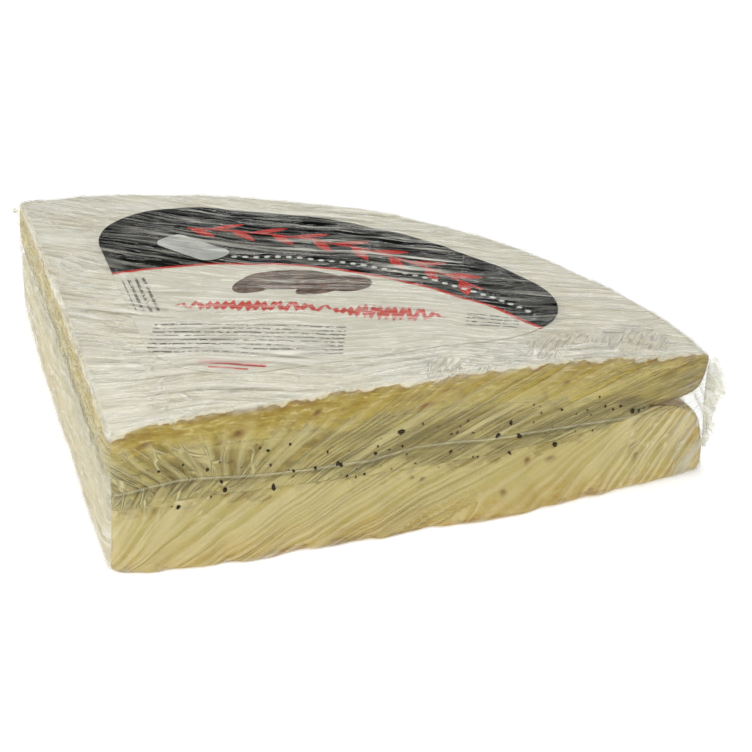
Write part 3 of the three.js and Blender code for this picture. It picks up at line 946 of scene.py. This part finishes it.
# %% Cream material and slab
CREAM_ROWS, CREAM_REACH, LEFT_BLEND = 26, 4.8, 4.0
CREAM_EDGE = CREAM_RADIUS + CREAM_REACH
CREAM_LEVELS = ((CREAM_EDGE - 0.1, 0, 0.12), (CREAM_EDGE, 0.12, 0.08), (CREAM_EDGE, 0.5, 0.12),
                (CREAM_EDGE, 0.88, 0.08), (CREAM_EDGE - 0.1, 1, 0.12))


def cream_material():
    """The cream's colours, grey smears, a moist surface, and the long crease at which all others on the
    face meet, with a painted highlight along it and a painted shade just under it. The other creases get
    painted highlights and shade as on the paste."""
    s = CreasedShader("truffle_cream")
    color = s.mix(s.value("smear"), cream_color(s), rgb(126, 112, 62))
    stray = wander(s, 0.0, 3.2)
    for name, paste in (("over_floor", rgb(200, 184, 116)), ("under_roof", rgb(184, 166, 92))):
        color = s.mix(s.span(s.minus(s.value(name), stray), -1.2, 0.8, 0.8, 0.0), color, paste)
    rise = s.value("rise")
    # spine: a painted highlight along the long crease, which the bump also raises; under: a painted
    # shade just below it
    spine = s.span(s.math("ABSOLUTE", rise), 0.15, 0.5, 0.5, 0.0)
    under = s.span(s.math("ABSOLUTE", s.plus(rise, 0.8)), 0.1, 0.6, 0.35, 0.0)
    # painted highlight colour on the crease ridges and painted shade colour in their valleys
    color, height = s.creased(color, rgb(217, 205, 146), rgb(84, 64, 14), 1.75, 1.75)
    color = s.paint(color, (under, rgb(96, 88, 52)), (spine, rgb(226, 219, 182)))
    normal = s.bump(s.plus(height, s.times(spine, 2.0)), 0.0005,
                    s.bump(s.grain(1.1, 4, 0.75), FINE_BUMP))
    return s.solid(color, 0.4, Normal=normal, Subsurface_Weight=0.08,
                   Subsurface_Radius=(1.0, 0.65, 0.3), Subsurface_Scale=FLESH_DEPTH,
                   Specular_IOR_Level=0.4)


def cream_height(x, y, share):
    low = floor_height(x, y) + GAP
    return low + share * (roof_height(x, y) - GAP - low)


cream_wall = wall(profile(CREAM_LEVELS, CREAM_ROWS), cream_height)
x, y, z = axes(cream_wall)
over_floor, under_roof = z - floor_height(x, y), roof_height(x, y) - z
paste_shift = LEFT_BLEND * (x < y)
dip = np.clip(0.25 * rough((x + y) / 4, z / 3, 61), -0.2, 0.3)
cream_wall = pressed_in(cream_wall, dip * smooth(np.minimum(over_floor, under_roof) / 3))
hidden_values = dict.fromkeys(("smear", "rise", "over_floor", "under_roof", "crumple"), 9.0)
make_piece("truffle_cream_slab", [
    Surface(cream_wall, closed=True, corners=wall_crease(cream_wall),
            smear=0.5 * smooth(0.4 + 1.5 * rough((x + y) / 9, z / 3, 51)),
            rise=np.where(x > y, above_spine(x, z), 99), over_floor=over_floor - paste_shift,
            under_roof=under_roof - paste_shift, crumple=crumple(*axes(cream_wall))),
    Surface(middle_rings(cream_wall[0], cream_height, 0), closed=True, flip=True, **hidden_values),
    Surface(middle_rings(cream_wall[-1], cream_height, 1), closed=True, **hidden_values),
], cream_material(), replaces=["truffle_cream"], caps=[(1, -1, -1), (2, -1, 1)])

# %% [markdown]
# Every bit is one small ball of points, changed by its own numbers. The bits seen on the front face
# have their places in a table.

# %% Truffle bits
BITS_PER_FACE, CRUMBS_PER_FACE, BIT_SHARE = 26, 90, 0.45
PLACES_DRAW, SHAPES_DRAW = 7, 11
SEEN_BITS = (  # along the front face, height, half size
    (14, 26.8, 0.45), (31.3, 20.9, 0.6), (32.2, 18.6, 0.85), (28, 17.3, 0.45), (17, 16.4, 0.35),
    (18.7, 16, 0.55), (45.8, 17.1, 1), (41.7, 29.9, 0.35), (42.7, 28.7, 0.4), (44.9, 27.5, 0.5),
    (51.3, 28.5, 0.4), (52, 20.7, 0.45), (58, 20.6, 0.3), (62.1, 24.3, 0.5), (65, 20.6, 0.55),
    (67.4, 17.1, 0.5), (70, 16.2, 0.35), (72.5, 16.8, 0.35), (68.5, 23.7, 0.3), (76.2, 21.8, 0.55),
    (77, 23.7, 0.35), (78, 25.8, 0.3), (84, 27.1, 0.85), (84.3, 22.8, 0.5), (80.3, 22.3, 0.35),
    (80.7, 17, 0.35), (85.5, 20.3, 0.35), (88, 17.5, 0.35), (90.5, 28.5, 0.5), (94.8, 15.5, 0.4),
    (98.7, 19.3, 0.6), (100.7, 15.7, 0.35), (101, 24.2, 0.5), (102, 25.8, 0.4), (104.2, 27.2, 0.5),
    (105.5, 16.9, 0.45), (107, 16.7, 0.35), (108.5, 24.1, 0.4), (113.5, 21.7, 0.85),
    (117.5, 24.7, 0.8), (116.9, 16.4, 0.6), (120.2, 20.7, 0.8), (124.7, 23.9, 0.4),
    (124.5, 29.3, 0.4), (126.5, 28.6, 0.35), (127, 26.5, 0.35), (131.5, 16.8, 0.8),
    (133.5, 26.6, 0.5), (138.3, 24.6, 0.35), (143, 23.8, 0.4), (143.5, 19.1, 0.45),
    (145.5, 29.2, 0.4), (148, 18.4, 0.4), (149.6, 18.4, 0.4), (151.2, 18.5, 0.4),
    (153.3, 18.3, 0.4), (156, 18.9, 0.4), (147.5, 26.2, 0.45), (150, 24.9, 0.55),
    (152.5, 25.6, 0.6), (156.5, 23.7, 0.7), (158.5, 23.6, 0.5), (160.2, 24.2, 0.4))


def ball(rows=7, columns=10):
    """A small closed ball: points at even angles, and the quads that join them, poles included."""
    a = np.linspace(0, math.pi, rows)[:, None]
    b = np.linspace(0, 2 * math.pi, columns, endpoint=False)[None, :]
    points = np.stack([np.sin(a) * np.cos(b), np.sin(a) * np.sin(b), -np.cos(a) + 0 * b], -1)
    return points.reshape(-1, 3), grid_quads(rows, columns, closed=True)


def fraction(v):
    return v - np.floor(v)


def large_bits(on_left):
    """Places and sizes of the larger bits: fractions of the whole numbers times three fixed ratios,
    along, up and in size, as in the solids."""
    i = np.arange(1, BITS_PER_FACE + 1)
    run = 12 + 132 * fraction(i * 0.618034 + (0.37 if on_left else 0)) ** 0.8
    share = 0.1 + 0.78 * fraction(i * 0.754878) ** 1.4
    return run, share, BIT_SHARE * (0.65 + 0.75 * fraction(i * 0.569840))


def bit_places():
    """Along, height, half size and place across of all bits of each face: those of the solids,
    crumbs drawn at random, and on the front face those seen."""
    draw = np.random.default_rng(PLACES_DRAW)
    faces = []
    for on_left in (False, True):
        run, share, size = large_bits(on_left)
        crumbs = 8 + 146 * draw.random(CRUMBS_PER_FACE) ** 0.75
        run, share = np.r_[run, crumbs], np.r_[share, draw.beta(1.1, 1.4, CRUMBS_PER_FACE)]
        size = np.r_[size, 0.14 + 0.22 * draw.random(CRUMBS_PER_FACE) ** 2]
        flat = np.full(len(run), CREAM_RECESS)
        height = cream_height(*((flat, run) if on_left else (run, flat)), share)
        faces.append(np.column_stack([run, height, size, flat]))
    seen = np.array(SEEN_BITS)
    faces[0] = np.vstack([faces[0], np.column_stack([seen, np.full(len(seen), 0.5 * CREAM_RECESS)])])
    return faces


def truffle_bits():
    """Every bit is the ball, flattened as if cut with the face, stretched, turned and dented by noise
    of its own."""
    base, quads = ball()
    draw = np.random.default_rng(SHAPES_DRAW)
    points = []
    for on_left, rows in enumerate(bit_places()):
        count = len(rows)
        own = np.arange(count)[:, None] * 9.1 + 50 * on_left
        stretch = 0.65 + 0.6 * draw.random((count, 1, 2))
        angle = draw.random((count, 1)) * 2 * math.pi
        bx, by, bz = base[None].transpose(2, 0, 1)
        dents = 1 + 0.45 * noise(bx * 1.7 + own, bz * 1.7 + by, 5)
        p = base[None] * dents[..., None] * rows[:, None, 2:3]
        u, v = p[..., 0] * stretch[..., 0], p[..., 2] * stretch[..., 1]
        run = rows[:, :1] + u * np.cos(angle) - v * np.sin(angle)
        height = rows[:, 1:2] + u * np.sin(angle) + v * np.cos(angle)
        across = rows[:, 3:4] + p[..., 1] * 0.45
        points.append(np.stack([across, run, height] if on_left else [run, across, height], -1))
    flipped = np.r_[np.zeros(len(points[0]), bool), np.ones(len(points[1]), bool)]
    points = np.vstack(points)
    faces = quads[None] + (np.arange(len(points)) * len(base))[:, None, None]
    faces = np.where(flipped[:, None, None], faces[..., ::-1], faces)
    return points.reshape(-1, 3), faces.reshape(-1, 4)


def truffle_material():
    s = Shader("truffle")
    vein = s.grain(1.6, 3, 0.7)
    color = s.mix(s.span(vein, 0.42, 0.7), rgb(26, 21, 9), rgb(94, 70, 28))
    return s.solid(color, 0.8, Specular_IOR_Level=0.15, Normal=s.bump(vein, 0.0003))


bit_points, bit_quads = truffle_bits()
make_piece("truffle_bits", [Surface(bit_points[None], quads=bit_quads)], truffle_material(),
           replaces=["truffle_cream"])

# %% [markdown]
# ## The label
# A sheet of paper, cut like the wedge with rounder corners, lies on the rind. Its print is a
# generic design. Each ink has a value at every point: the distance in millimetres to the edge of
# its shapes, below nought inside. The material turns that into a crisp edge, because a distance
# stays exact between points where a colour would blur.

# %% Label print as distances
LABEL_MARGIN, LABEL_RADIUS, LABEL_NARROWED = 20.0, 166.0, 0.965
LABEL_CORNER, LABEL_TIP, LABEL_LOW, LABEL_HIGH = 32.0, 32.0, 40.00, 40.22
BAND_CENTRE, BAND_RADIUS, DOT_STEP = (29.1, -13.2), 114.1, 1.7
GARLAND_RADIUS, LEAVES, LEAF_START, LEAF_STEP = 143, 15, 26, 2.9
OVALS = ((74, 79, 16, 7.5, -14), (90, 72, 8, 6.5, 10), (61, 79, 7.5, 5.5, 30), (80, 70, 8, 4, 10))
RED_BARS = ((42, 28, 10, 1.3, -26), (40, 25.5, 6, 0.5, -26))
STROKES = ((58, 63, 27, -20, 2.4, 11, 1.2), (95, 47, 18, -22, 2.9, 8, 1.35))
INK_REACH = 4


def oval(x, y, cx, cy, long, wide, degrees):
    """Nearly the distance to an ellipse: its scaled radius less one, times the smaller half width."""
    u, v = turned(x, y, cx, cy, degrees)
    return (np.hypot(u / long, v / wide) - 1) * min(long, wide)


def bar(x, y, cx, cy, long, wide, degrees=0.0):
    """Distance to a rectangle: the larger of the distances past its half length and half width."""
    u, v = turned(x, y, cx, cy, degrees)
    return np.maximum(np.abs(u) - long, np.abs(v) - wide)


def stripes(v, step):
    """Distance to stripes a millimetre wide: how far v is from the nearest middle, less half of that."""
    return np.abs(v / step % 1 - 0.5) * step - 0.5


def leaf(x, y, cx, cy, long, wide, degrees):
    """A pointed leaf: the half width falls with the square of the place along it."""
    u, v = turned(x, y, cx, cy, degrees)
    return np.maximum(np.abs(v) - wide * (1 - (u / long) ** 2), np.abs(u) - long)


def swash(x, y, cx, cy, long, degrees, rise, waves, thick):
    """A brush stroke: a sine wave of uneven height along a line, thickest in its middle."""
    u, v = turned(x, y, cx, cy, degrees)
    height = rise * (0.6 + 0.5 * noise(u / 5, 0 * u, 7))
    line = height * np.sin(waves * math.pi * u / long + 1.2 * noise(u / 8, 0 * u, 8))
    slope = np.sqrt(1 + (rise * waves * math.pi / long * np.cos(waves * math.pi * u / long)) ** 2)
    return np.maximum(np.abs(v - line) / slope - thick * (1 - (u / long) ** 2), np.abs(u) - long)


def garland(x, y):
    """Leaves on both sides of a curved stem by turns, each at a slant to it, and the stem."""
    shapes = []
    for k in range(LEAVES):
        angle = LEAF_START + LEAF_STEP * k
        side = 1 if k % 2 else -1
        r, a = GARLAND_RADIUS + 3.4 * side, math.radians(angle)
        shapes.append(leaf(x, y, r * math.cos(a), r * math.sin(a), 7.0, 1.9, angle + 90 + 38 * side))
    stem = np.abs(np.hypot(x, y) - GARLAND_RADIUS) - 0.7
    return shapes + [np.maximum(stem, np.abs(np.degrees(np.arctan2(y, x)) - 46.5) * 2.5 - 56)]


def label_inks(x, y):
    """The distance fields of all inks: the least distance over each ink's shapes, held within a few
    millimetres."""
    dx, dy = x - BAND_CENTRE[0], y - BAND_CENTRE[1]
    from_middle, turn = np.hypot(dx, dy), np.degrees(np.arctan2(dy, dx))
    from_band = BAND_RADIUS - from_middle
    red = np.minimum.reduce([*garland(x, y), np.abs(from_band) - 0.8,
                             *(bar(x, y, *row) for row in RED_BARS),
                             *(swash(x, y, *row) for row in STROKES)])
    step = turn / DOT_STEP - np.round(turn / DOT_STEP)
    dots = np.hypot(from_middle - BAND_RADIUS - 6.5, np.radians(step * DOT_STEP) * BAND_RADIUS) - 0.95
    rows, columns = stripes(turned(x, y, 50, 42, -20)[1], 2.5), stripes(x, 2.3)
    lines = np.minimum.reduce([np.maximum(bar(x, y, 50, 42.5, 29, 10.5, -20), rows),
                               np.maximum(bar(x, y, 124, 33, 8, 5, -24), rows),
                               np.maximum(bar(x, y, 26, 82, 4.2, 13), columns)])
    inks = {"dark": from_band, "red": red, "white": np.maximum(dots, np.abs(turn - 50) - 26),
            "brown": np.minimum.reduce([oval(x, y, *row) for row in OVALS]), "lines": lines}
    return {name: np.clip(distance, -INK_REACH, INK_REACH) for name, distance in inks.items()}


middle = label_inks(np.array([70.0]), np.array([60.0]))
print("distances at the label's middle:", {name: round(v.item(), 2) for name, v in middle.items()})

# %% [markdown]
# The paper itself is slightly waved, and its edge is a thin wall.

# %% Label material and sheet
PAPER_BUMP = 0.00005


def label_material():
    """Paper with fibres. Each ink covers it where its distance is under nought, with an edge that the
    fibres make a little ragged."""
    s = CreasedShader("label_paper")
    fibre, cloud = s.grain(1.3, 4, 0.7), s.grain(0.08, 3, 0.5)
    color = s.mix(s.span(cloud, 0.3, 0.7), rgb(224, 220, 206), rgb(211, 207, 190))
    dashes = s.span(s.grain((0.75, 0.6, 0.02), 2, 0.7), 0.42, 0.48)
    inside = s.times(s.span(s.value("lines"), 0.15, -0.15), dashes)
    color = s.paint(color, (s.span(fibre, 0.5, 0.8, 0.0, 0.3), rgb(226, 226, 212)),
                    (s.times(inside, 0.85), rgb(66, 68, 62)))
    mottle = s.mix(s.span(s.grain(0.35, 4, 0.7), 0.4, 0.65), rgb(66, 46, 36), rgb(126, 100, 84))
    spread = s.span(fibre, 0.2, 0.8, -0.12, 0.12)
    for name, shade, strength in (("dark", rgb(5, 8, 5), 1.0), ("brown", mottle, 0.92),
                                  ("red", rgb(200, 44, 32), 0.88), ("white", rgb(214, 216, 206), 0.95)):
        edge = s.plus(s.value(name), spread)
        color = s.mix(s.span(edge, 0.1, -0.1, 0.0, strength), color, shade)
    ridge, _, facets = s.creases()
    normal = s.bump(s.plus(ridge, facets), 0.0001, s.bump(fibre, PAPER_BUMP))
    return s.solid(color, 0.6, Normal=normal, Specular_IOR_Level=0.0)


def paper_relief(x, y):
    """Low waves of the paper, a tenth of a millimetre high."""
    return 0.06 * noise(x / 11, y / 11, 71) + 0.04 * noise((x + 2 * y) / 5, (y - x) / 16, 72)


def label_sheet():
    """The waved face of the paper inside its outline, and the thin wall down to its low level."""
    plan = outline(LABEL_MARGIN, LABEL_RADIUS, LABEL_CORNER, LABEL_TIP)
    plan[:, 0] = LABEL_MARGIN + LABEL_NARROWED * (plan[:, 0] - LABEL_MARGIN)
    face = patch(np.column_stack([plan, np.full(len(plan), LABEL_HIGH)]))
    face = raised(face, paper_relief(face[..., 0], face[..., 1]))
    edge = grid_edge(face)
    base = edge.copy()
    base[:, 2] = LABEL_LOW
    return face, np.array([base, edge])


face, rim = label_sheet()
make_piece("paper_label", [
    Surface(face, crease=top_crease(*axes(face)), **label_inks(*axes(face)[:2])),
    Surface(rim, closed=True, **label_inks(*axes(rim)[:2])),
], label_material(), replaces=["label"], caps=[(1, 0, -1)])

# %% [markdown]
# ## The price sticker
# A small slip stuck on the film. It carries nothing. It follows the creases of the film under it.

# %% Sticker
STICKER_PLACE, STICKER_TURN = (49.0, 112.0), -57.0
STICKER_LENGTH, STICKER_WIDTH, STICKER_CORNER = 26.0, 12.0, 4.0
STICKER_LOW, STICKER_HIGH = 41.12, 41.24


def sticker_face(columns=66, rows=32):
    """A rounded rectangle: a grid whose half width shrinks like a quarter circle near the ends."""
    u, v = np.meshgrid(np.linspace(-1, 1, columns), np.linspace(-1, 1, rows))
    half_long, half_wide = STICKER_LENGTH / 2, STICKER_WIDTH / 2
    past = np.maximum(0, np.abs(u) * half_long - half_long + STICKER_CORNER) / STICKER_CORNER
    shrink = 1 - STICKER_CORNER / half_wide * (1 - np.sqrt(np.maximum(0, 1 - past**2)))
    a, b = u * half_long, v * half_wide * shrink
    c, s = cos_sin(STICKER_TURN)
    return STICKER_PLACE[0] + a * c - b * s, STICKER_PLACE[1] + a * s + b * c, a, b


def sticker_material():
    """Grey paper with fibres and pale streaks, creased with the film under it."""
    s = CreasedShader("sticker_paper")
    fibre, cloud = s.grain(1.5, 4, 0.7), s.grain(0.15, 2, 0.5)
    color = s.mix(s.span(cloud, 0.35, 0.65), rgb(178, 180, 170), rgb(150, 153, 144))
    ridge, _, facets = s.creases()
    pale = s.larger(s.times(ridge, 0.6), s.times(s.streaks(), 0.7))
    color = s.paint(color, (s.span(fibre, 0.55, 0.8, 0.0, 0.4), rgb(136, 138, 130)),
                    (pale, rgb(220, 222, 214)))
    normal = s.bump(s.plus(ridge, facets), 0.00025, s.bump(fibre, PAPER_BUMP))
    return s.solid(color, 0.42, Normal=normal)


x, y, a, b = sticker_face()
lift = 0.10 * noise(a / 4, b / 3, 81) + 0.05
high_face, low_face = (np.stack([x, y, z + lift], -1) for z in (STICKER_HIGH, STICKER_LOW))
make_piece("price_slip", [
    Surface(high_face, crease=top_crease(x, y, 0)),
    Surface(low_face, flip=True),
    Surface(np.array([grid_edge(low_face), grid_edge(high_face)]), closed=True),
], sticker_material(), replaces=["price_sticker"])

# %% [markdown]
# ## The film
# Clear stretch film, drawn tight over the cheese. It is one skin: the walls, the roof and loose
# frills at two corners. Broad creases are in the mesh, as ridges that follow the crease
# coordinates. Finer ones are bump and a thin white haze in the material, since creased film
# scatters light along its folds.

# %% Film material
GLOSS_CAP = 0.18


def film_material():
    """Mostly see-through. A Fresnel share of gloss mirrors the lights, each facet at its own tilt. A
    white haze lies on the ridges and in long streaks, where the film is gathered."""
    s = CreasedShader("clear_film")
    ridge, _, facets = s.creases()
    drift = s.noise(s.crease(0.03, 0.10))
    normal = s.bump(s.plus(s.times(facets, 0.9), s.plus(s.times(ridge, 0.4), drift)), 0.0005)
    gloss = s.put("BsdfGlossy", {"Color": (1, 1, 1, 1), "Roughness": 0.08, "Normal": normal})
    clear = s.put("BsdfTransparent", {"Color": (0.975, 0.98, 0.975, 1)})
    share = s.times(s.put("Fresnel", {"IOR": 1.45}), s.value("gloss"))
    glossy = s.put("MixShader", {0: s.math("MINIMUM", share, GLOSS_CAP), 1: clear, 2: gloss})
    white = s.put("BsdfDiffuse", {"Color": rgb(232, 230, 216), "Normal": normal})
    gathered = s.plus(s.times(ridge, 0.35), s.times(s.streaks(), 0.90))
    haze = s.plus(s.times(gathered, s.value("loose")), s.value("veil"))
    return s.finish(s.put("MixShader", {0: haze, 1: glossy, 2: white}))


clear_film = film_material()

# %% [markdown]
# The skin follows a table of levels a little outside the cheese. Named values say for each place how
# glossy, how hazy and how white the film is.

# %% Film shape
FILM_ROWS, FOLD_HEIGHT, FOLD_FADE = 38, 0.30, 8
FILM_LEVELS = (  # radius, height, margin
    (180, 0.35, 0.8), (181.5, 0.9, -0.1), (181.9, 4, -0.4), (181.9, 11, -0.4), (181.1, 22, -0.4),
    (181.2, 31, -0.4), (181.5, 37, -0.4), (181.3, 39.3, -0.25), (180.4, 40.5, 0.1), (178.6, 40.8, 0.9))
FILM_RADII, FILM_HEIGHTS, _ = np.transpose(FILM_LEVELS)
CORNER_IN = 1.6, 1.4
FRILLS = (  # on the left, turn in degrees, low, high, reach, wave, seed
    (False, -8, 8, 38, 6.3, 1.3, 3), (False, -28, 12, 37, 5.2, 1.0, 4),
    (False, 12, 9, 36, 5.0, 1.1, 6), (True, 125, 29, 39, 4.2, 0.6, 5))


def folds(crease, seed):
    """Ridges where stretched noise passes nought: one minus its size, cubed."""
    a, c = crease[..., 0], crease[..., 1]
    return FOLD_HEIGHT * (1 - np.abs(noise(a * 0.035, c * 0.3, seed))) ** 3


def level_height(x, y, height):
    return np.full(len(x), height)


def film_wall():
    """The skin's rings, with the folds pushed out level. The folds fade at the foot, at the roof's
    edge, and where the folds of one side end: at the tip, at the right corner and on the rim."""
    rings = wall(profile(FILM_LEVELS, FILM_ROWS), level_height)
    z = rings[..., 2]
    column = np.arange(rings.shape[1])
    ends = np.array([0, FRONT_COUNT, FRONT_COUNT + 2 * LEFT_COUNT, len(column)])
    side = np.digitize(column, ends[1:3])
    chosen = np.choose(side[None, :, None], side_creases(rings))
    nearest = np.abs(column[:, None] - ends).min(1)
    fade = smooth(nearest / FOLD_FADE)[None] * smooth((FILM_HEIGHTS[-1] - z) / 2.5) * smooth(z / 2)
    tangent = np.roll(rings, -1, 1) - np.roll(rings, 1, 1)
    outward = np.stack([tangent[..., 1], -tangent[..., 0], 0 * z], -1)
    outward /= np.linalg.norm(outward, axis=-1, keepdims=True)
    return rings + outward * (folds(chosen, 101) * fade)[..., None]


def film_roof(ring):
    """The roof over rind and label: a patch with folds that rise up, nought at its edge."""
    face = patch(ring)
    x, y, z = axes(face)
    lift = folds(top_crease(x, y, z), 131) * 0.8
    return raised(face, inside_share(x, y, FILM_RADII[-1], 4) * lift)


def roof_loose(x, y):
    """How much white haze the roof's film has: most over the label's middle, less at both of its ends
    and near the tip, where the film is drawn tight."""
    to_side = np.abs(np.degrees(np.arctan2(y, x)) - 48)
    at_ends = 0.58 * smooth((to_side - 13) / 14) * smooth((np.hypot(x, y) - 70) / 30)
    return 0.90 - at_ends - 0.30 * smooth((85 - x - 0.8 * y) / 35) + 0.35 * crossing_zone(x, y)


def skin_radius(z):
    """The radius just inside the skin at a height, from its table of levels."""
    return np.interp(z, FILM_HEIGHTS, FILM_RADII) - 0.3


def frill(on_left, turn, low, high, reach, wave, seed, rows=40, columns=22):
    """A loose flap: from its root up a corner it reaches out, farthest at two thirds of its height (a
    power of a sine), with a slightly ragged edge, and waves to both sides."""
    v = np.linspace(0, 1, rows)[:, None]
    u = np.linspace(0, 1, columns)[None, :]
    z = low + (high - low) * v + 0 * u
    x0, y0 = (CORNER_IN[1], skin_radius(z)) if on_left else (skin_radius(z), CORNER_IN[0])
    full = 0.3 + 0.7 * np.sin(math.pi * np.clip(v, 0.01, 0.99) ** 1.8) ** 0.7
    length = reach * full * (1 + 0.16 * rough(v * 6, 0 * v + 3.3, seed))
    side = wave * u * (np.sin(v * 14 + 5 * u + seed) + 0.6 * noise(v * 9, u * 4, seed + 1))
    c, s = cos_sin(turn)
    points = np.stack([x0 + length * u * c - side * s, y0 + length * u * s + side * c,
                       z + 0.8 * u * noise(v * 6, u * 2, seed + 2)], -1)
    crease = np.stack([length * u * 3 + 6 * noise(v * 5, u * 3, seed),
                       z * 0.5 + 0.4 * length * u + seed * 50], -1)
    return Surface(points, crease=crease, loose=1.2, veil=0.28, gloss=0.6)


walls = film_wall()
roof = film_roof(walls[-1])
x, y, z = axes(walls)
near_roof, on_left = smooth((z - 38) / 2.8), left_share(x, y)
ragged = z + 2.4 * rough(y / 9, z / 6, 77)
under_edge = smooth((ragged - 26) / 3) * smooth((40 - ragged) / 2)
right_corner = smooth((x - 166) / 10) * smooth((40 - y) / 10)
make_piece("wrap_film", [
    Surface(walls, closed=True, corners=wall_crease(walls),
            gloss=0.28 + 0.7 * near_roof - 0.13 * on_left,
            loose=(0.02 + (0.5 - 0.3 * on_left) * near_roof + on_left * (0.42 - 0.36 * under_edge)
                   + 0.5 * right_corner),
            veil=on_left * (0.30 - 0.28 * under_edge) + 0.08 * np.exp(-(((x + y) / 4) ** 2))),
    Surface(roof, corners=top_corners(roof), loose=roof_loose(*axes(roof)[:2]), veil=0.0, gloss=0.7),
    *(frill(*row) for row in FRILLS),
], clear_film, replaces=["film"])

# %% [markdown]
# ## Floor and light
# A pale floor reaches past the camera's view. Large soft lights stand left, above and behind. The
# ones behind and above are what the glossy film mirrors.

# %% Stage
FLOOR_REACH, BLUISH = 6.0, 1.03
LIGHTS = (  # name, place, height of the target, size, power
    ("left_key", (-1.25, -0.22, 0.58), 0.02, (0.8, 0.8), 10.5),
    ("front_soft", (0.25, -1.35, 0.55), 0.02, (0.9, 0.7), 6.15),
    ("overhead", (0.1, 0.1, 1.3), 0.02, (0.9, 0.7), 9.0),
    ("back_high", (0.3, 0.95, 1.0), 0.03, (1.3, 0.3), 3.5))
SKY_STOPS = ((0.0, 0.8), (0.10, 0.7), (0.25, 0.04), (0.8, 0.03), (1.0, 0.4))


def floor_material():
    s = Shader("pale_floor")
    color = s.mix(s.grain(0.01, 3), (0.90, 0.90, 0.90, 1), (0.94, 0.94, 0.94, 1))
    return s.solid(color, 0.7, Emission_Color=(1, 1, 1, 1), Emission_Strength=0.35)


def softbox(name, place, target_height, size, power):
    """A rectangular area light at a place in metres, facing a point over the frame's middle."""
    light = bpy.data.lights.new(name, "AREA")
    light.shape = "RECTANGLE"
    light.size, light.size_y = size
    light.energy = power
    lamp = placed(name, light)
    lamp.location = place
    facing = Vector((0, 0, target_height)) - Vector(place)
    lamp.rotation_euler = facing.to_track_quat("-Z", "Y").to_euler()


floor_mesh = bpy.data.meshes.new("floor")
corners = [(FLOOR_REACH * u, FLOOR_REACH * v, 0) for u, v in ((-1, -1), (1, -1), (1, 1), (-1, 1))]
floor_mesh.from_pydata(corners, [], [(0, 1, 2, 3)])
floor_mesh.materials.append(floor_material())
floor = placed("floor", floor_mesh)
floor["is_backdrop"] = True

for row in LIGHTS:
    softbox(*row)

world = bpy.data.worlds.new("studio")
world.use_nodes = True
tree = world.node_tree
sky = tree.nodes.new("ShaderNodeTexCoord")
split = tree.nodes.new("ShaderNodeSeparateXYZ")
ramp = tree.nodes.new("ShaderNodeValToRGB")
tree.links.new(sky.outputs["Generated"], split.inputs[0])
tree.links.new(split.outputs["Z"], ramp.inputs["Fac"])
stops = ramp.color_ramp.elements
stops[1].position = SKY_STOPS[1][0]
for position, _ in SKY_STOPS[2:]:
    stops.new(position)
for stop, (_, level) in zip(stops, SKY_STOPS):
    stop.color = (level, level, level * BLUISH, 1)
background = tree.nodes["Background"]
tree.links.new(ramp.outputs["Color"], background.inputs["Color"])
background.inputs["Strength"].default_value = 1.0
scene = bpy.context.scene
scene.world = world
scene.view_settings.view_transform = "Standard"
scene.view_settings.look = "None"
scene.view_settings.exposure = 0.0
print("lights:", [row[0] for row in LIGHTS], "and a sky of", len(stops), "stops")

# %% [markdown]
# ## Sizes
# The boxes of the construction model and of the visible pieces are written down side by side.

# %% Sizes and end
visual_box = [list(corner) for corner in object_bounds()]
sizes = {"cad": cad_box, "visual": visual_box}
{key: [[float(v) for v in corner] for corner in box] for key, box in sizes.items()}
print("sizes", sizes)
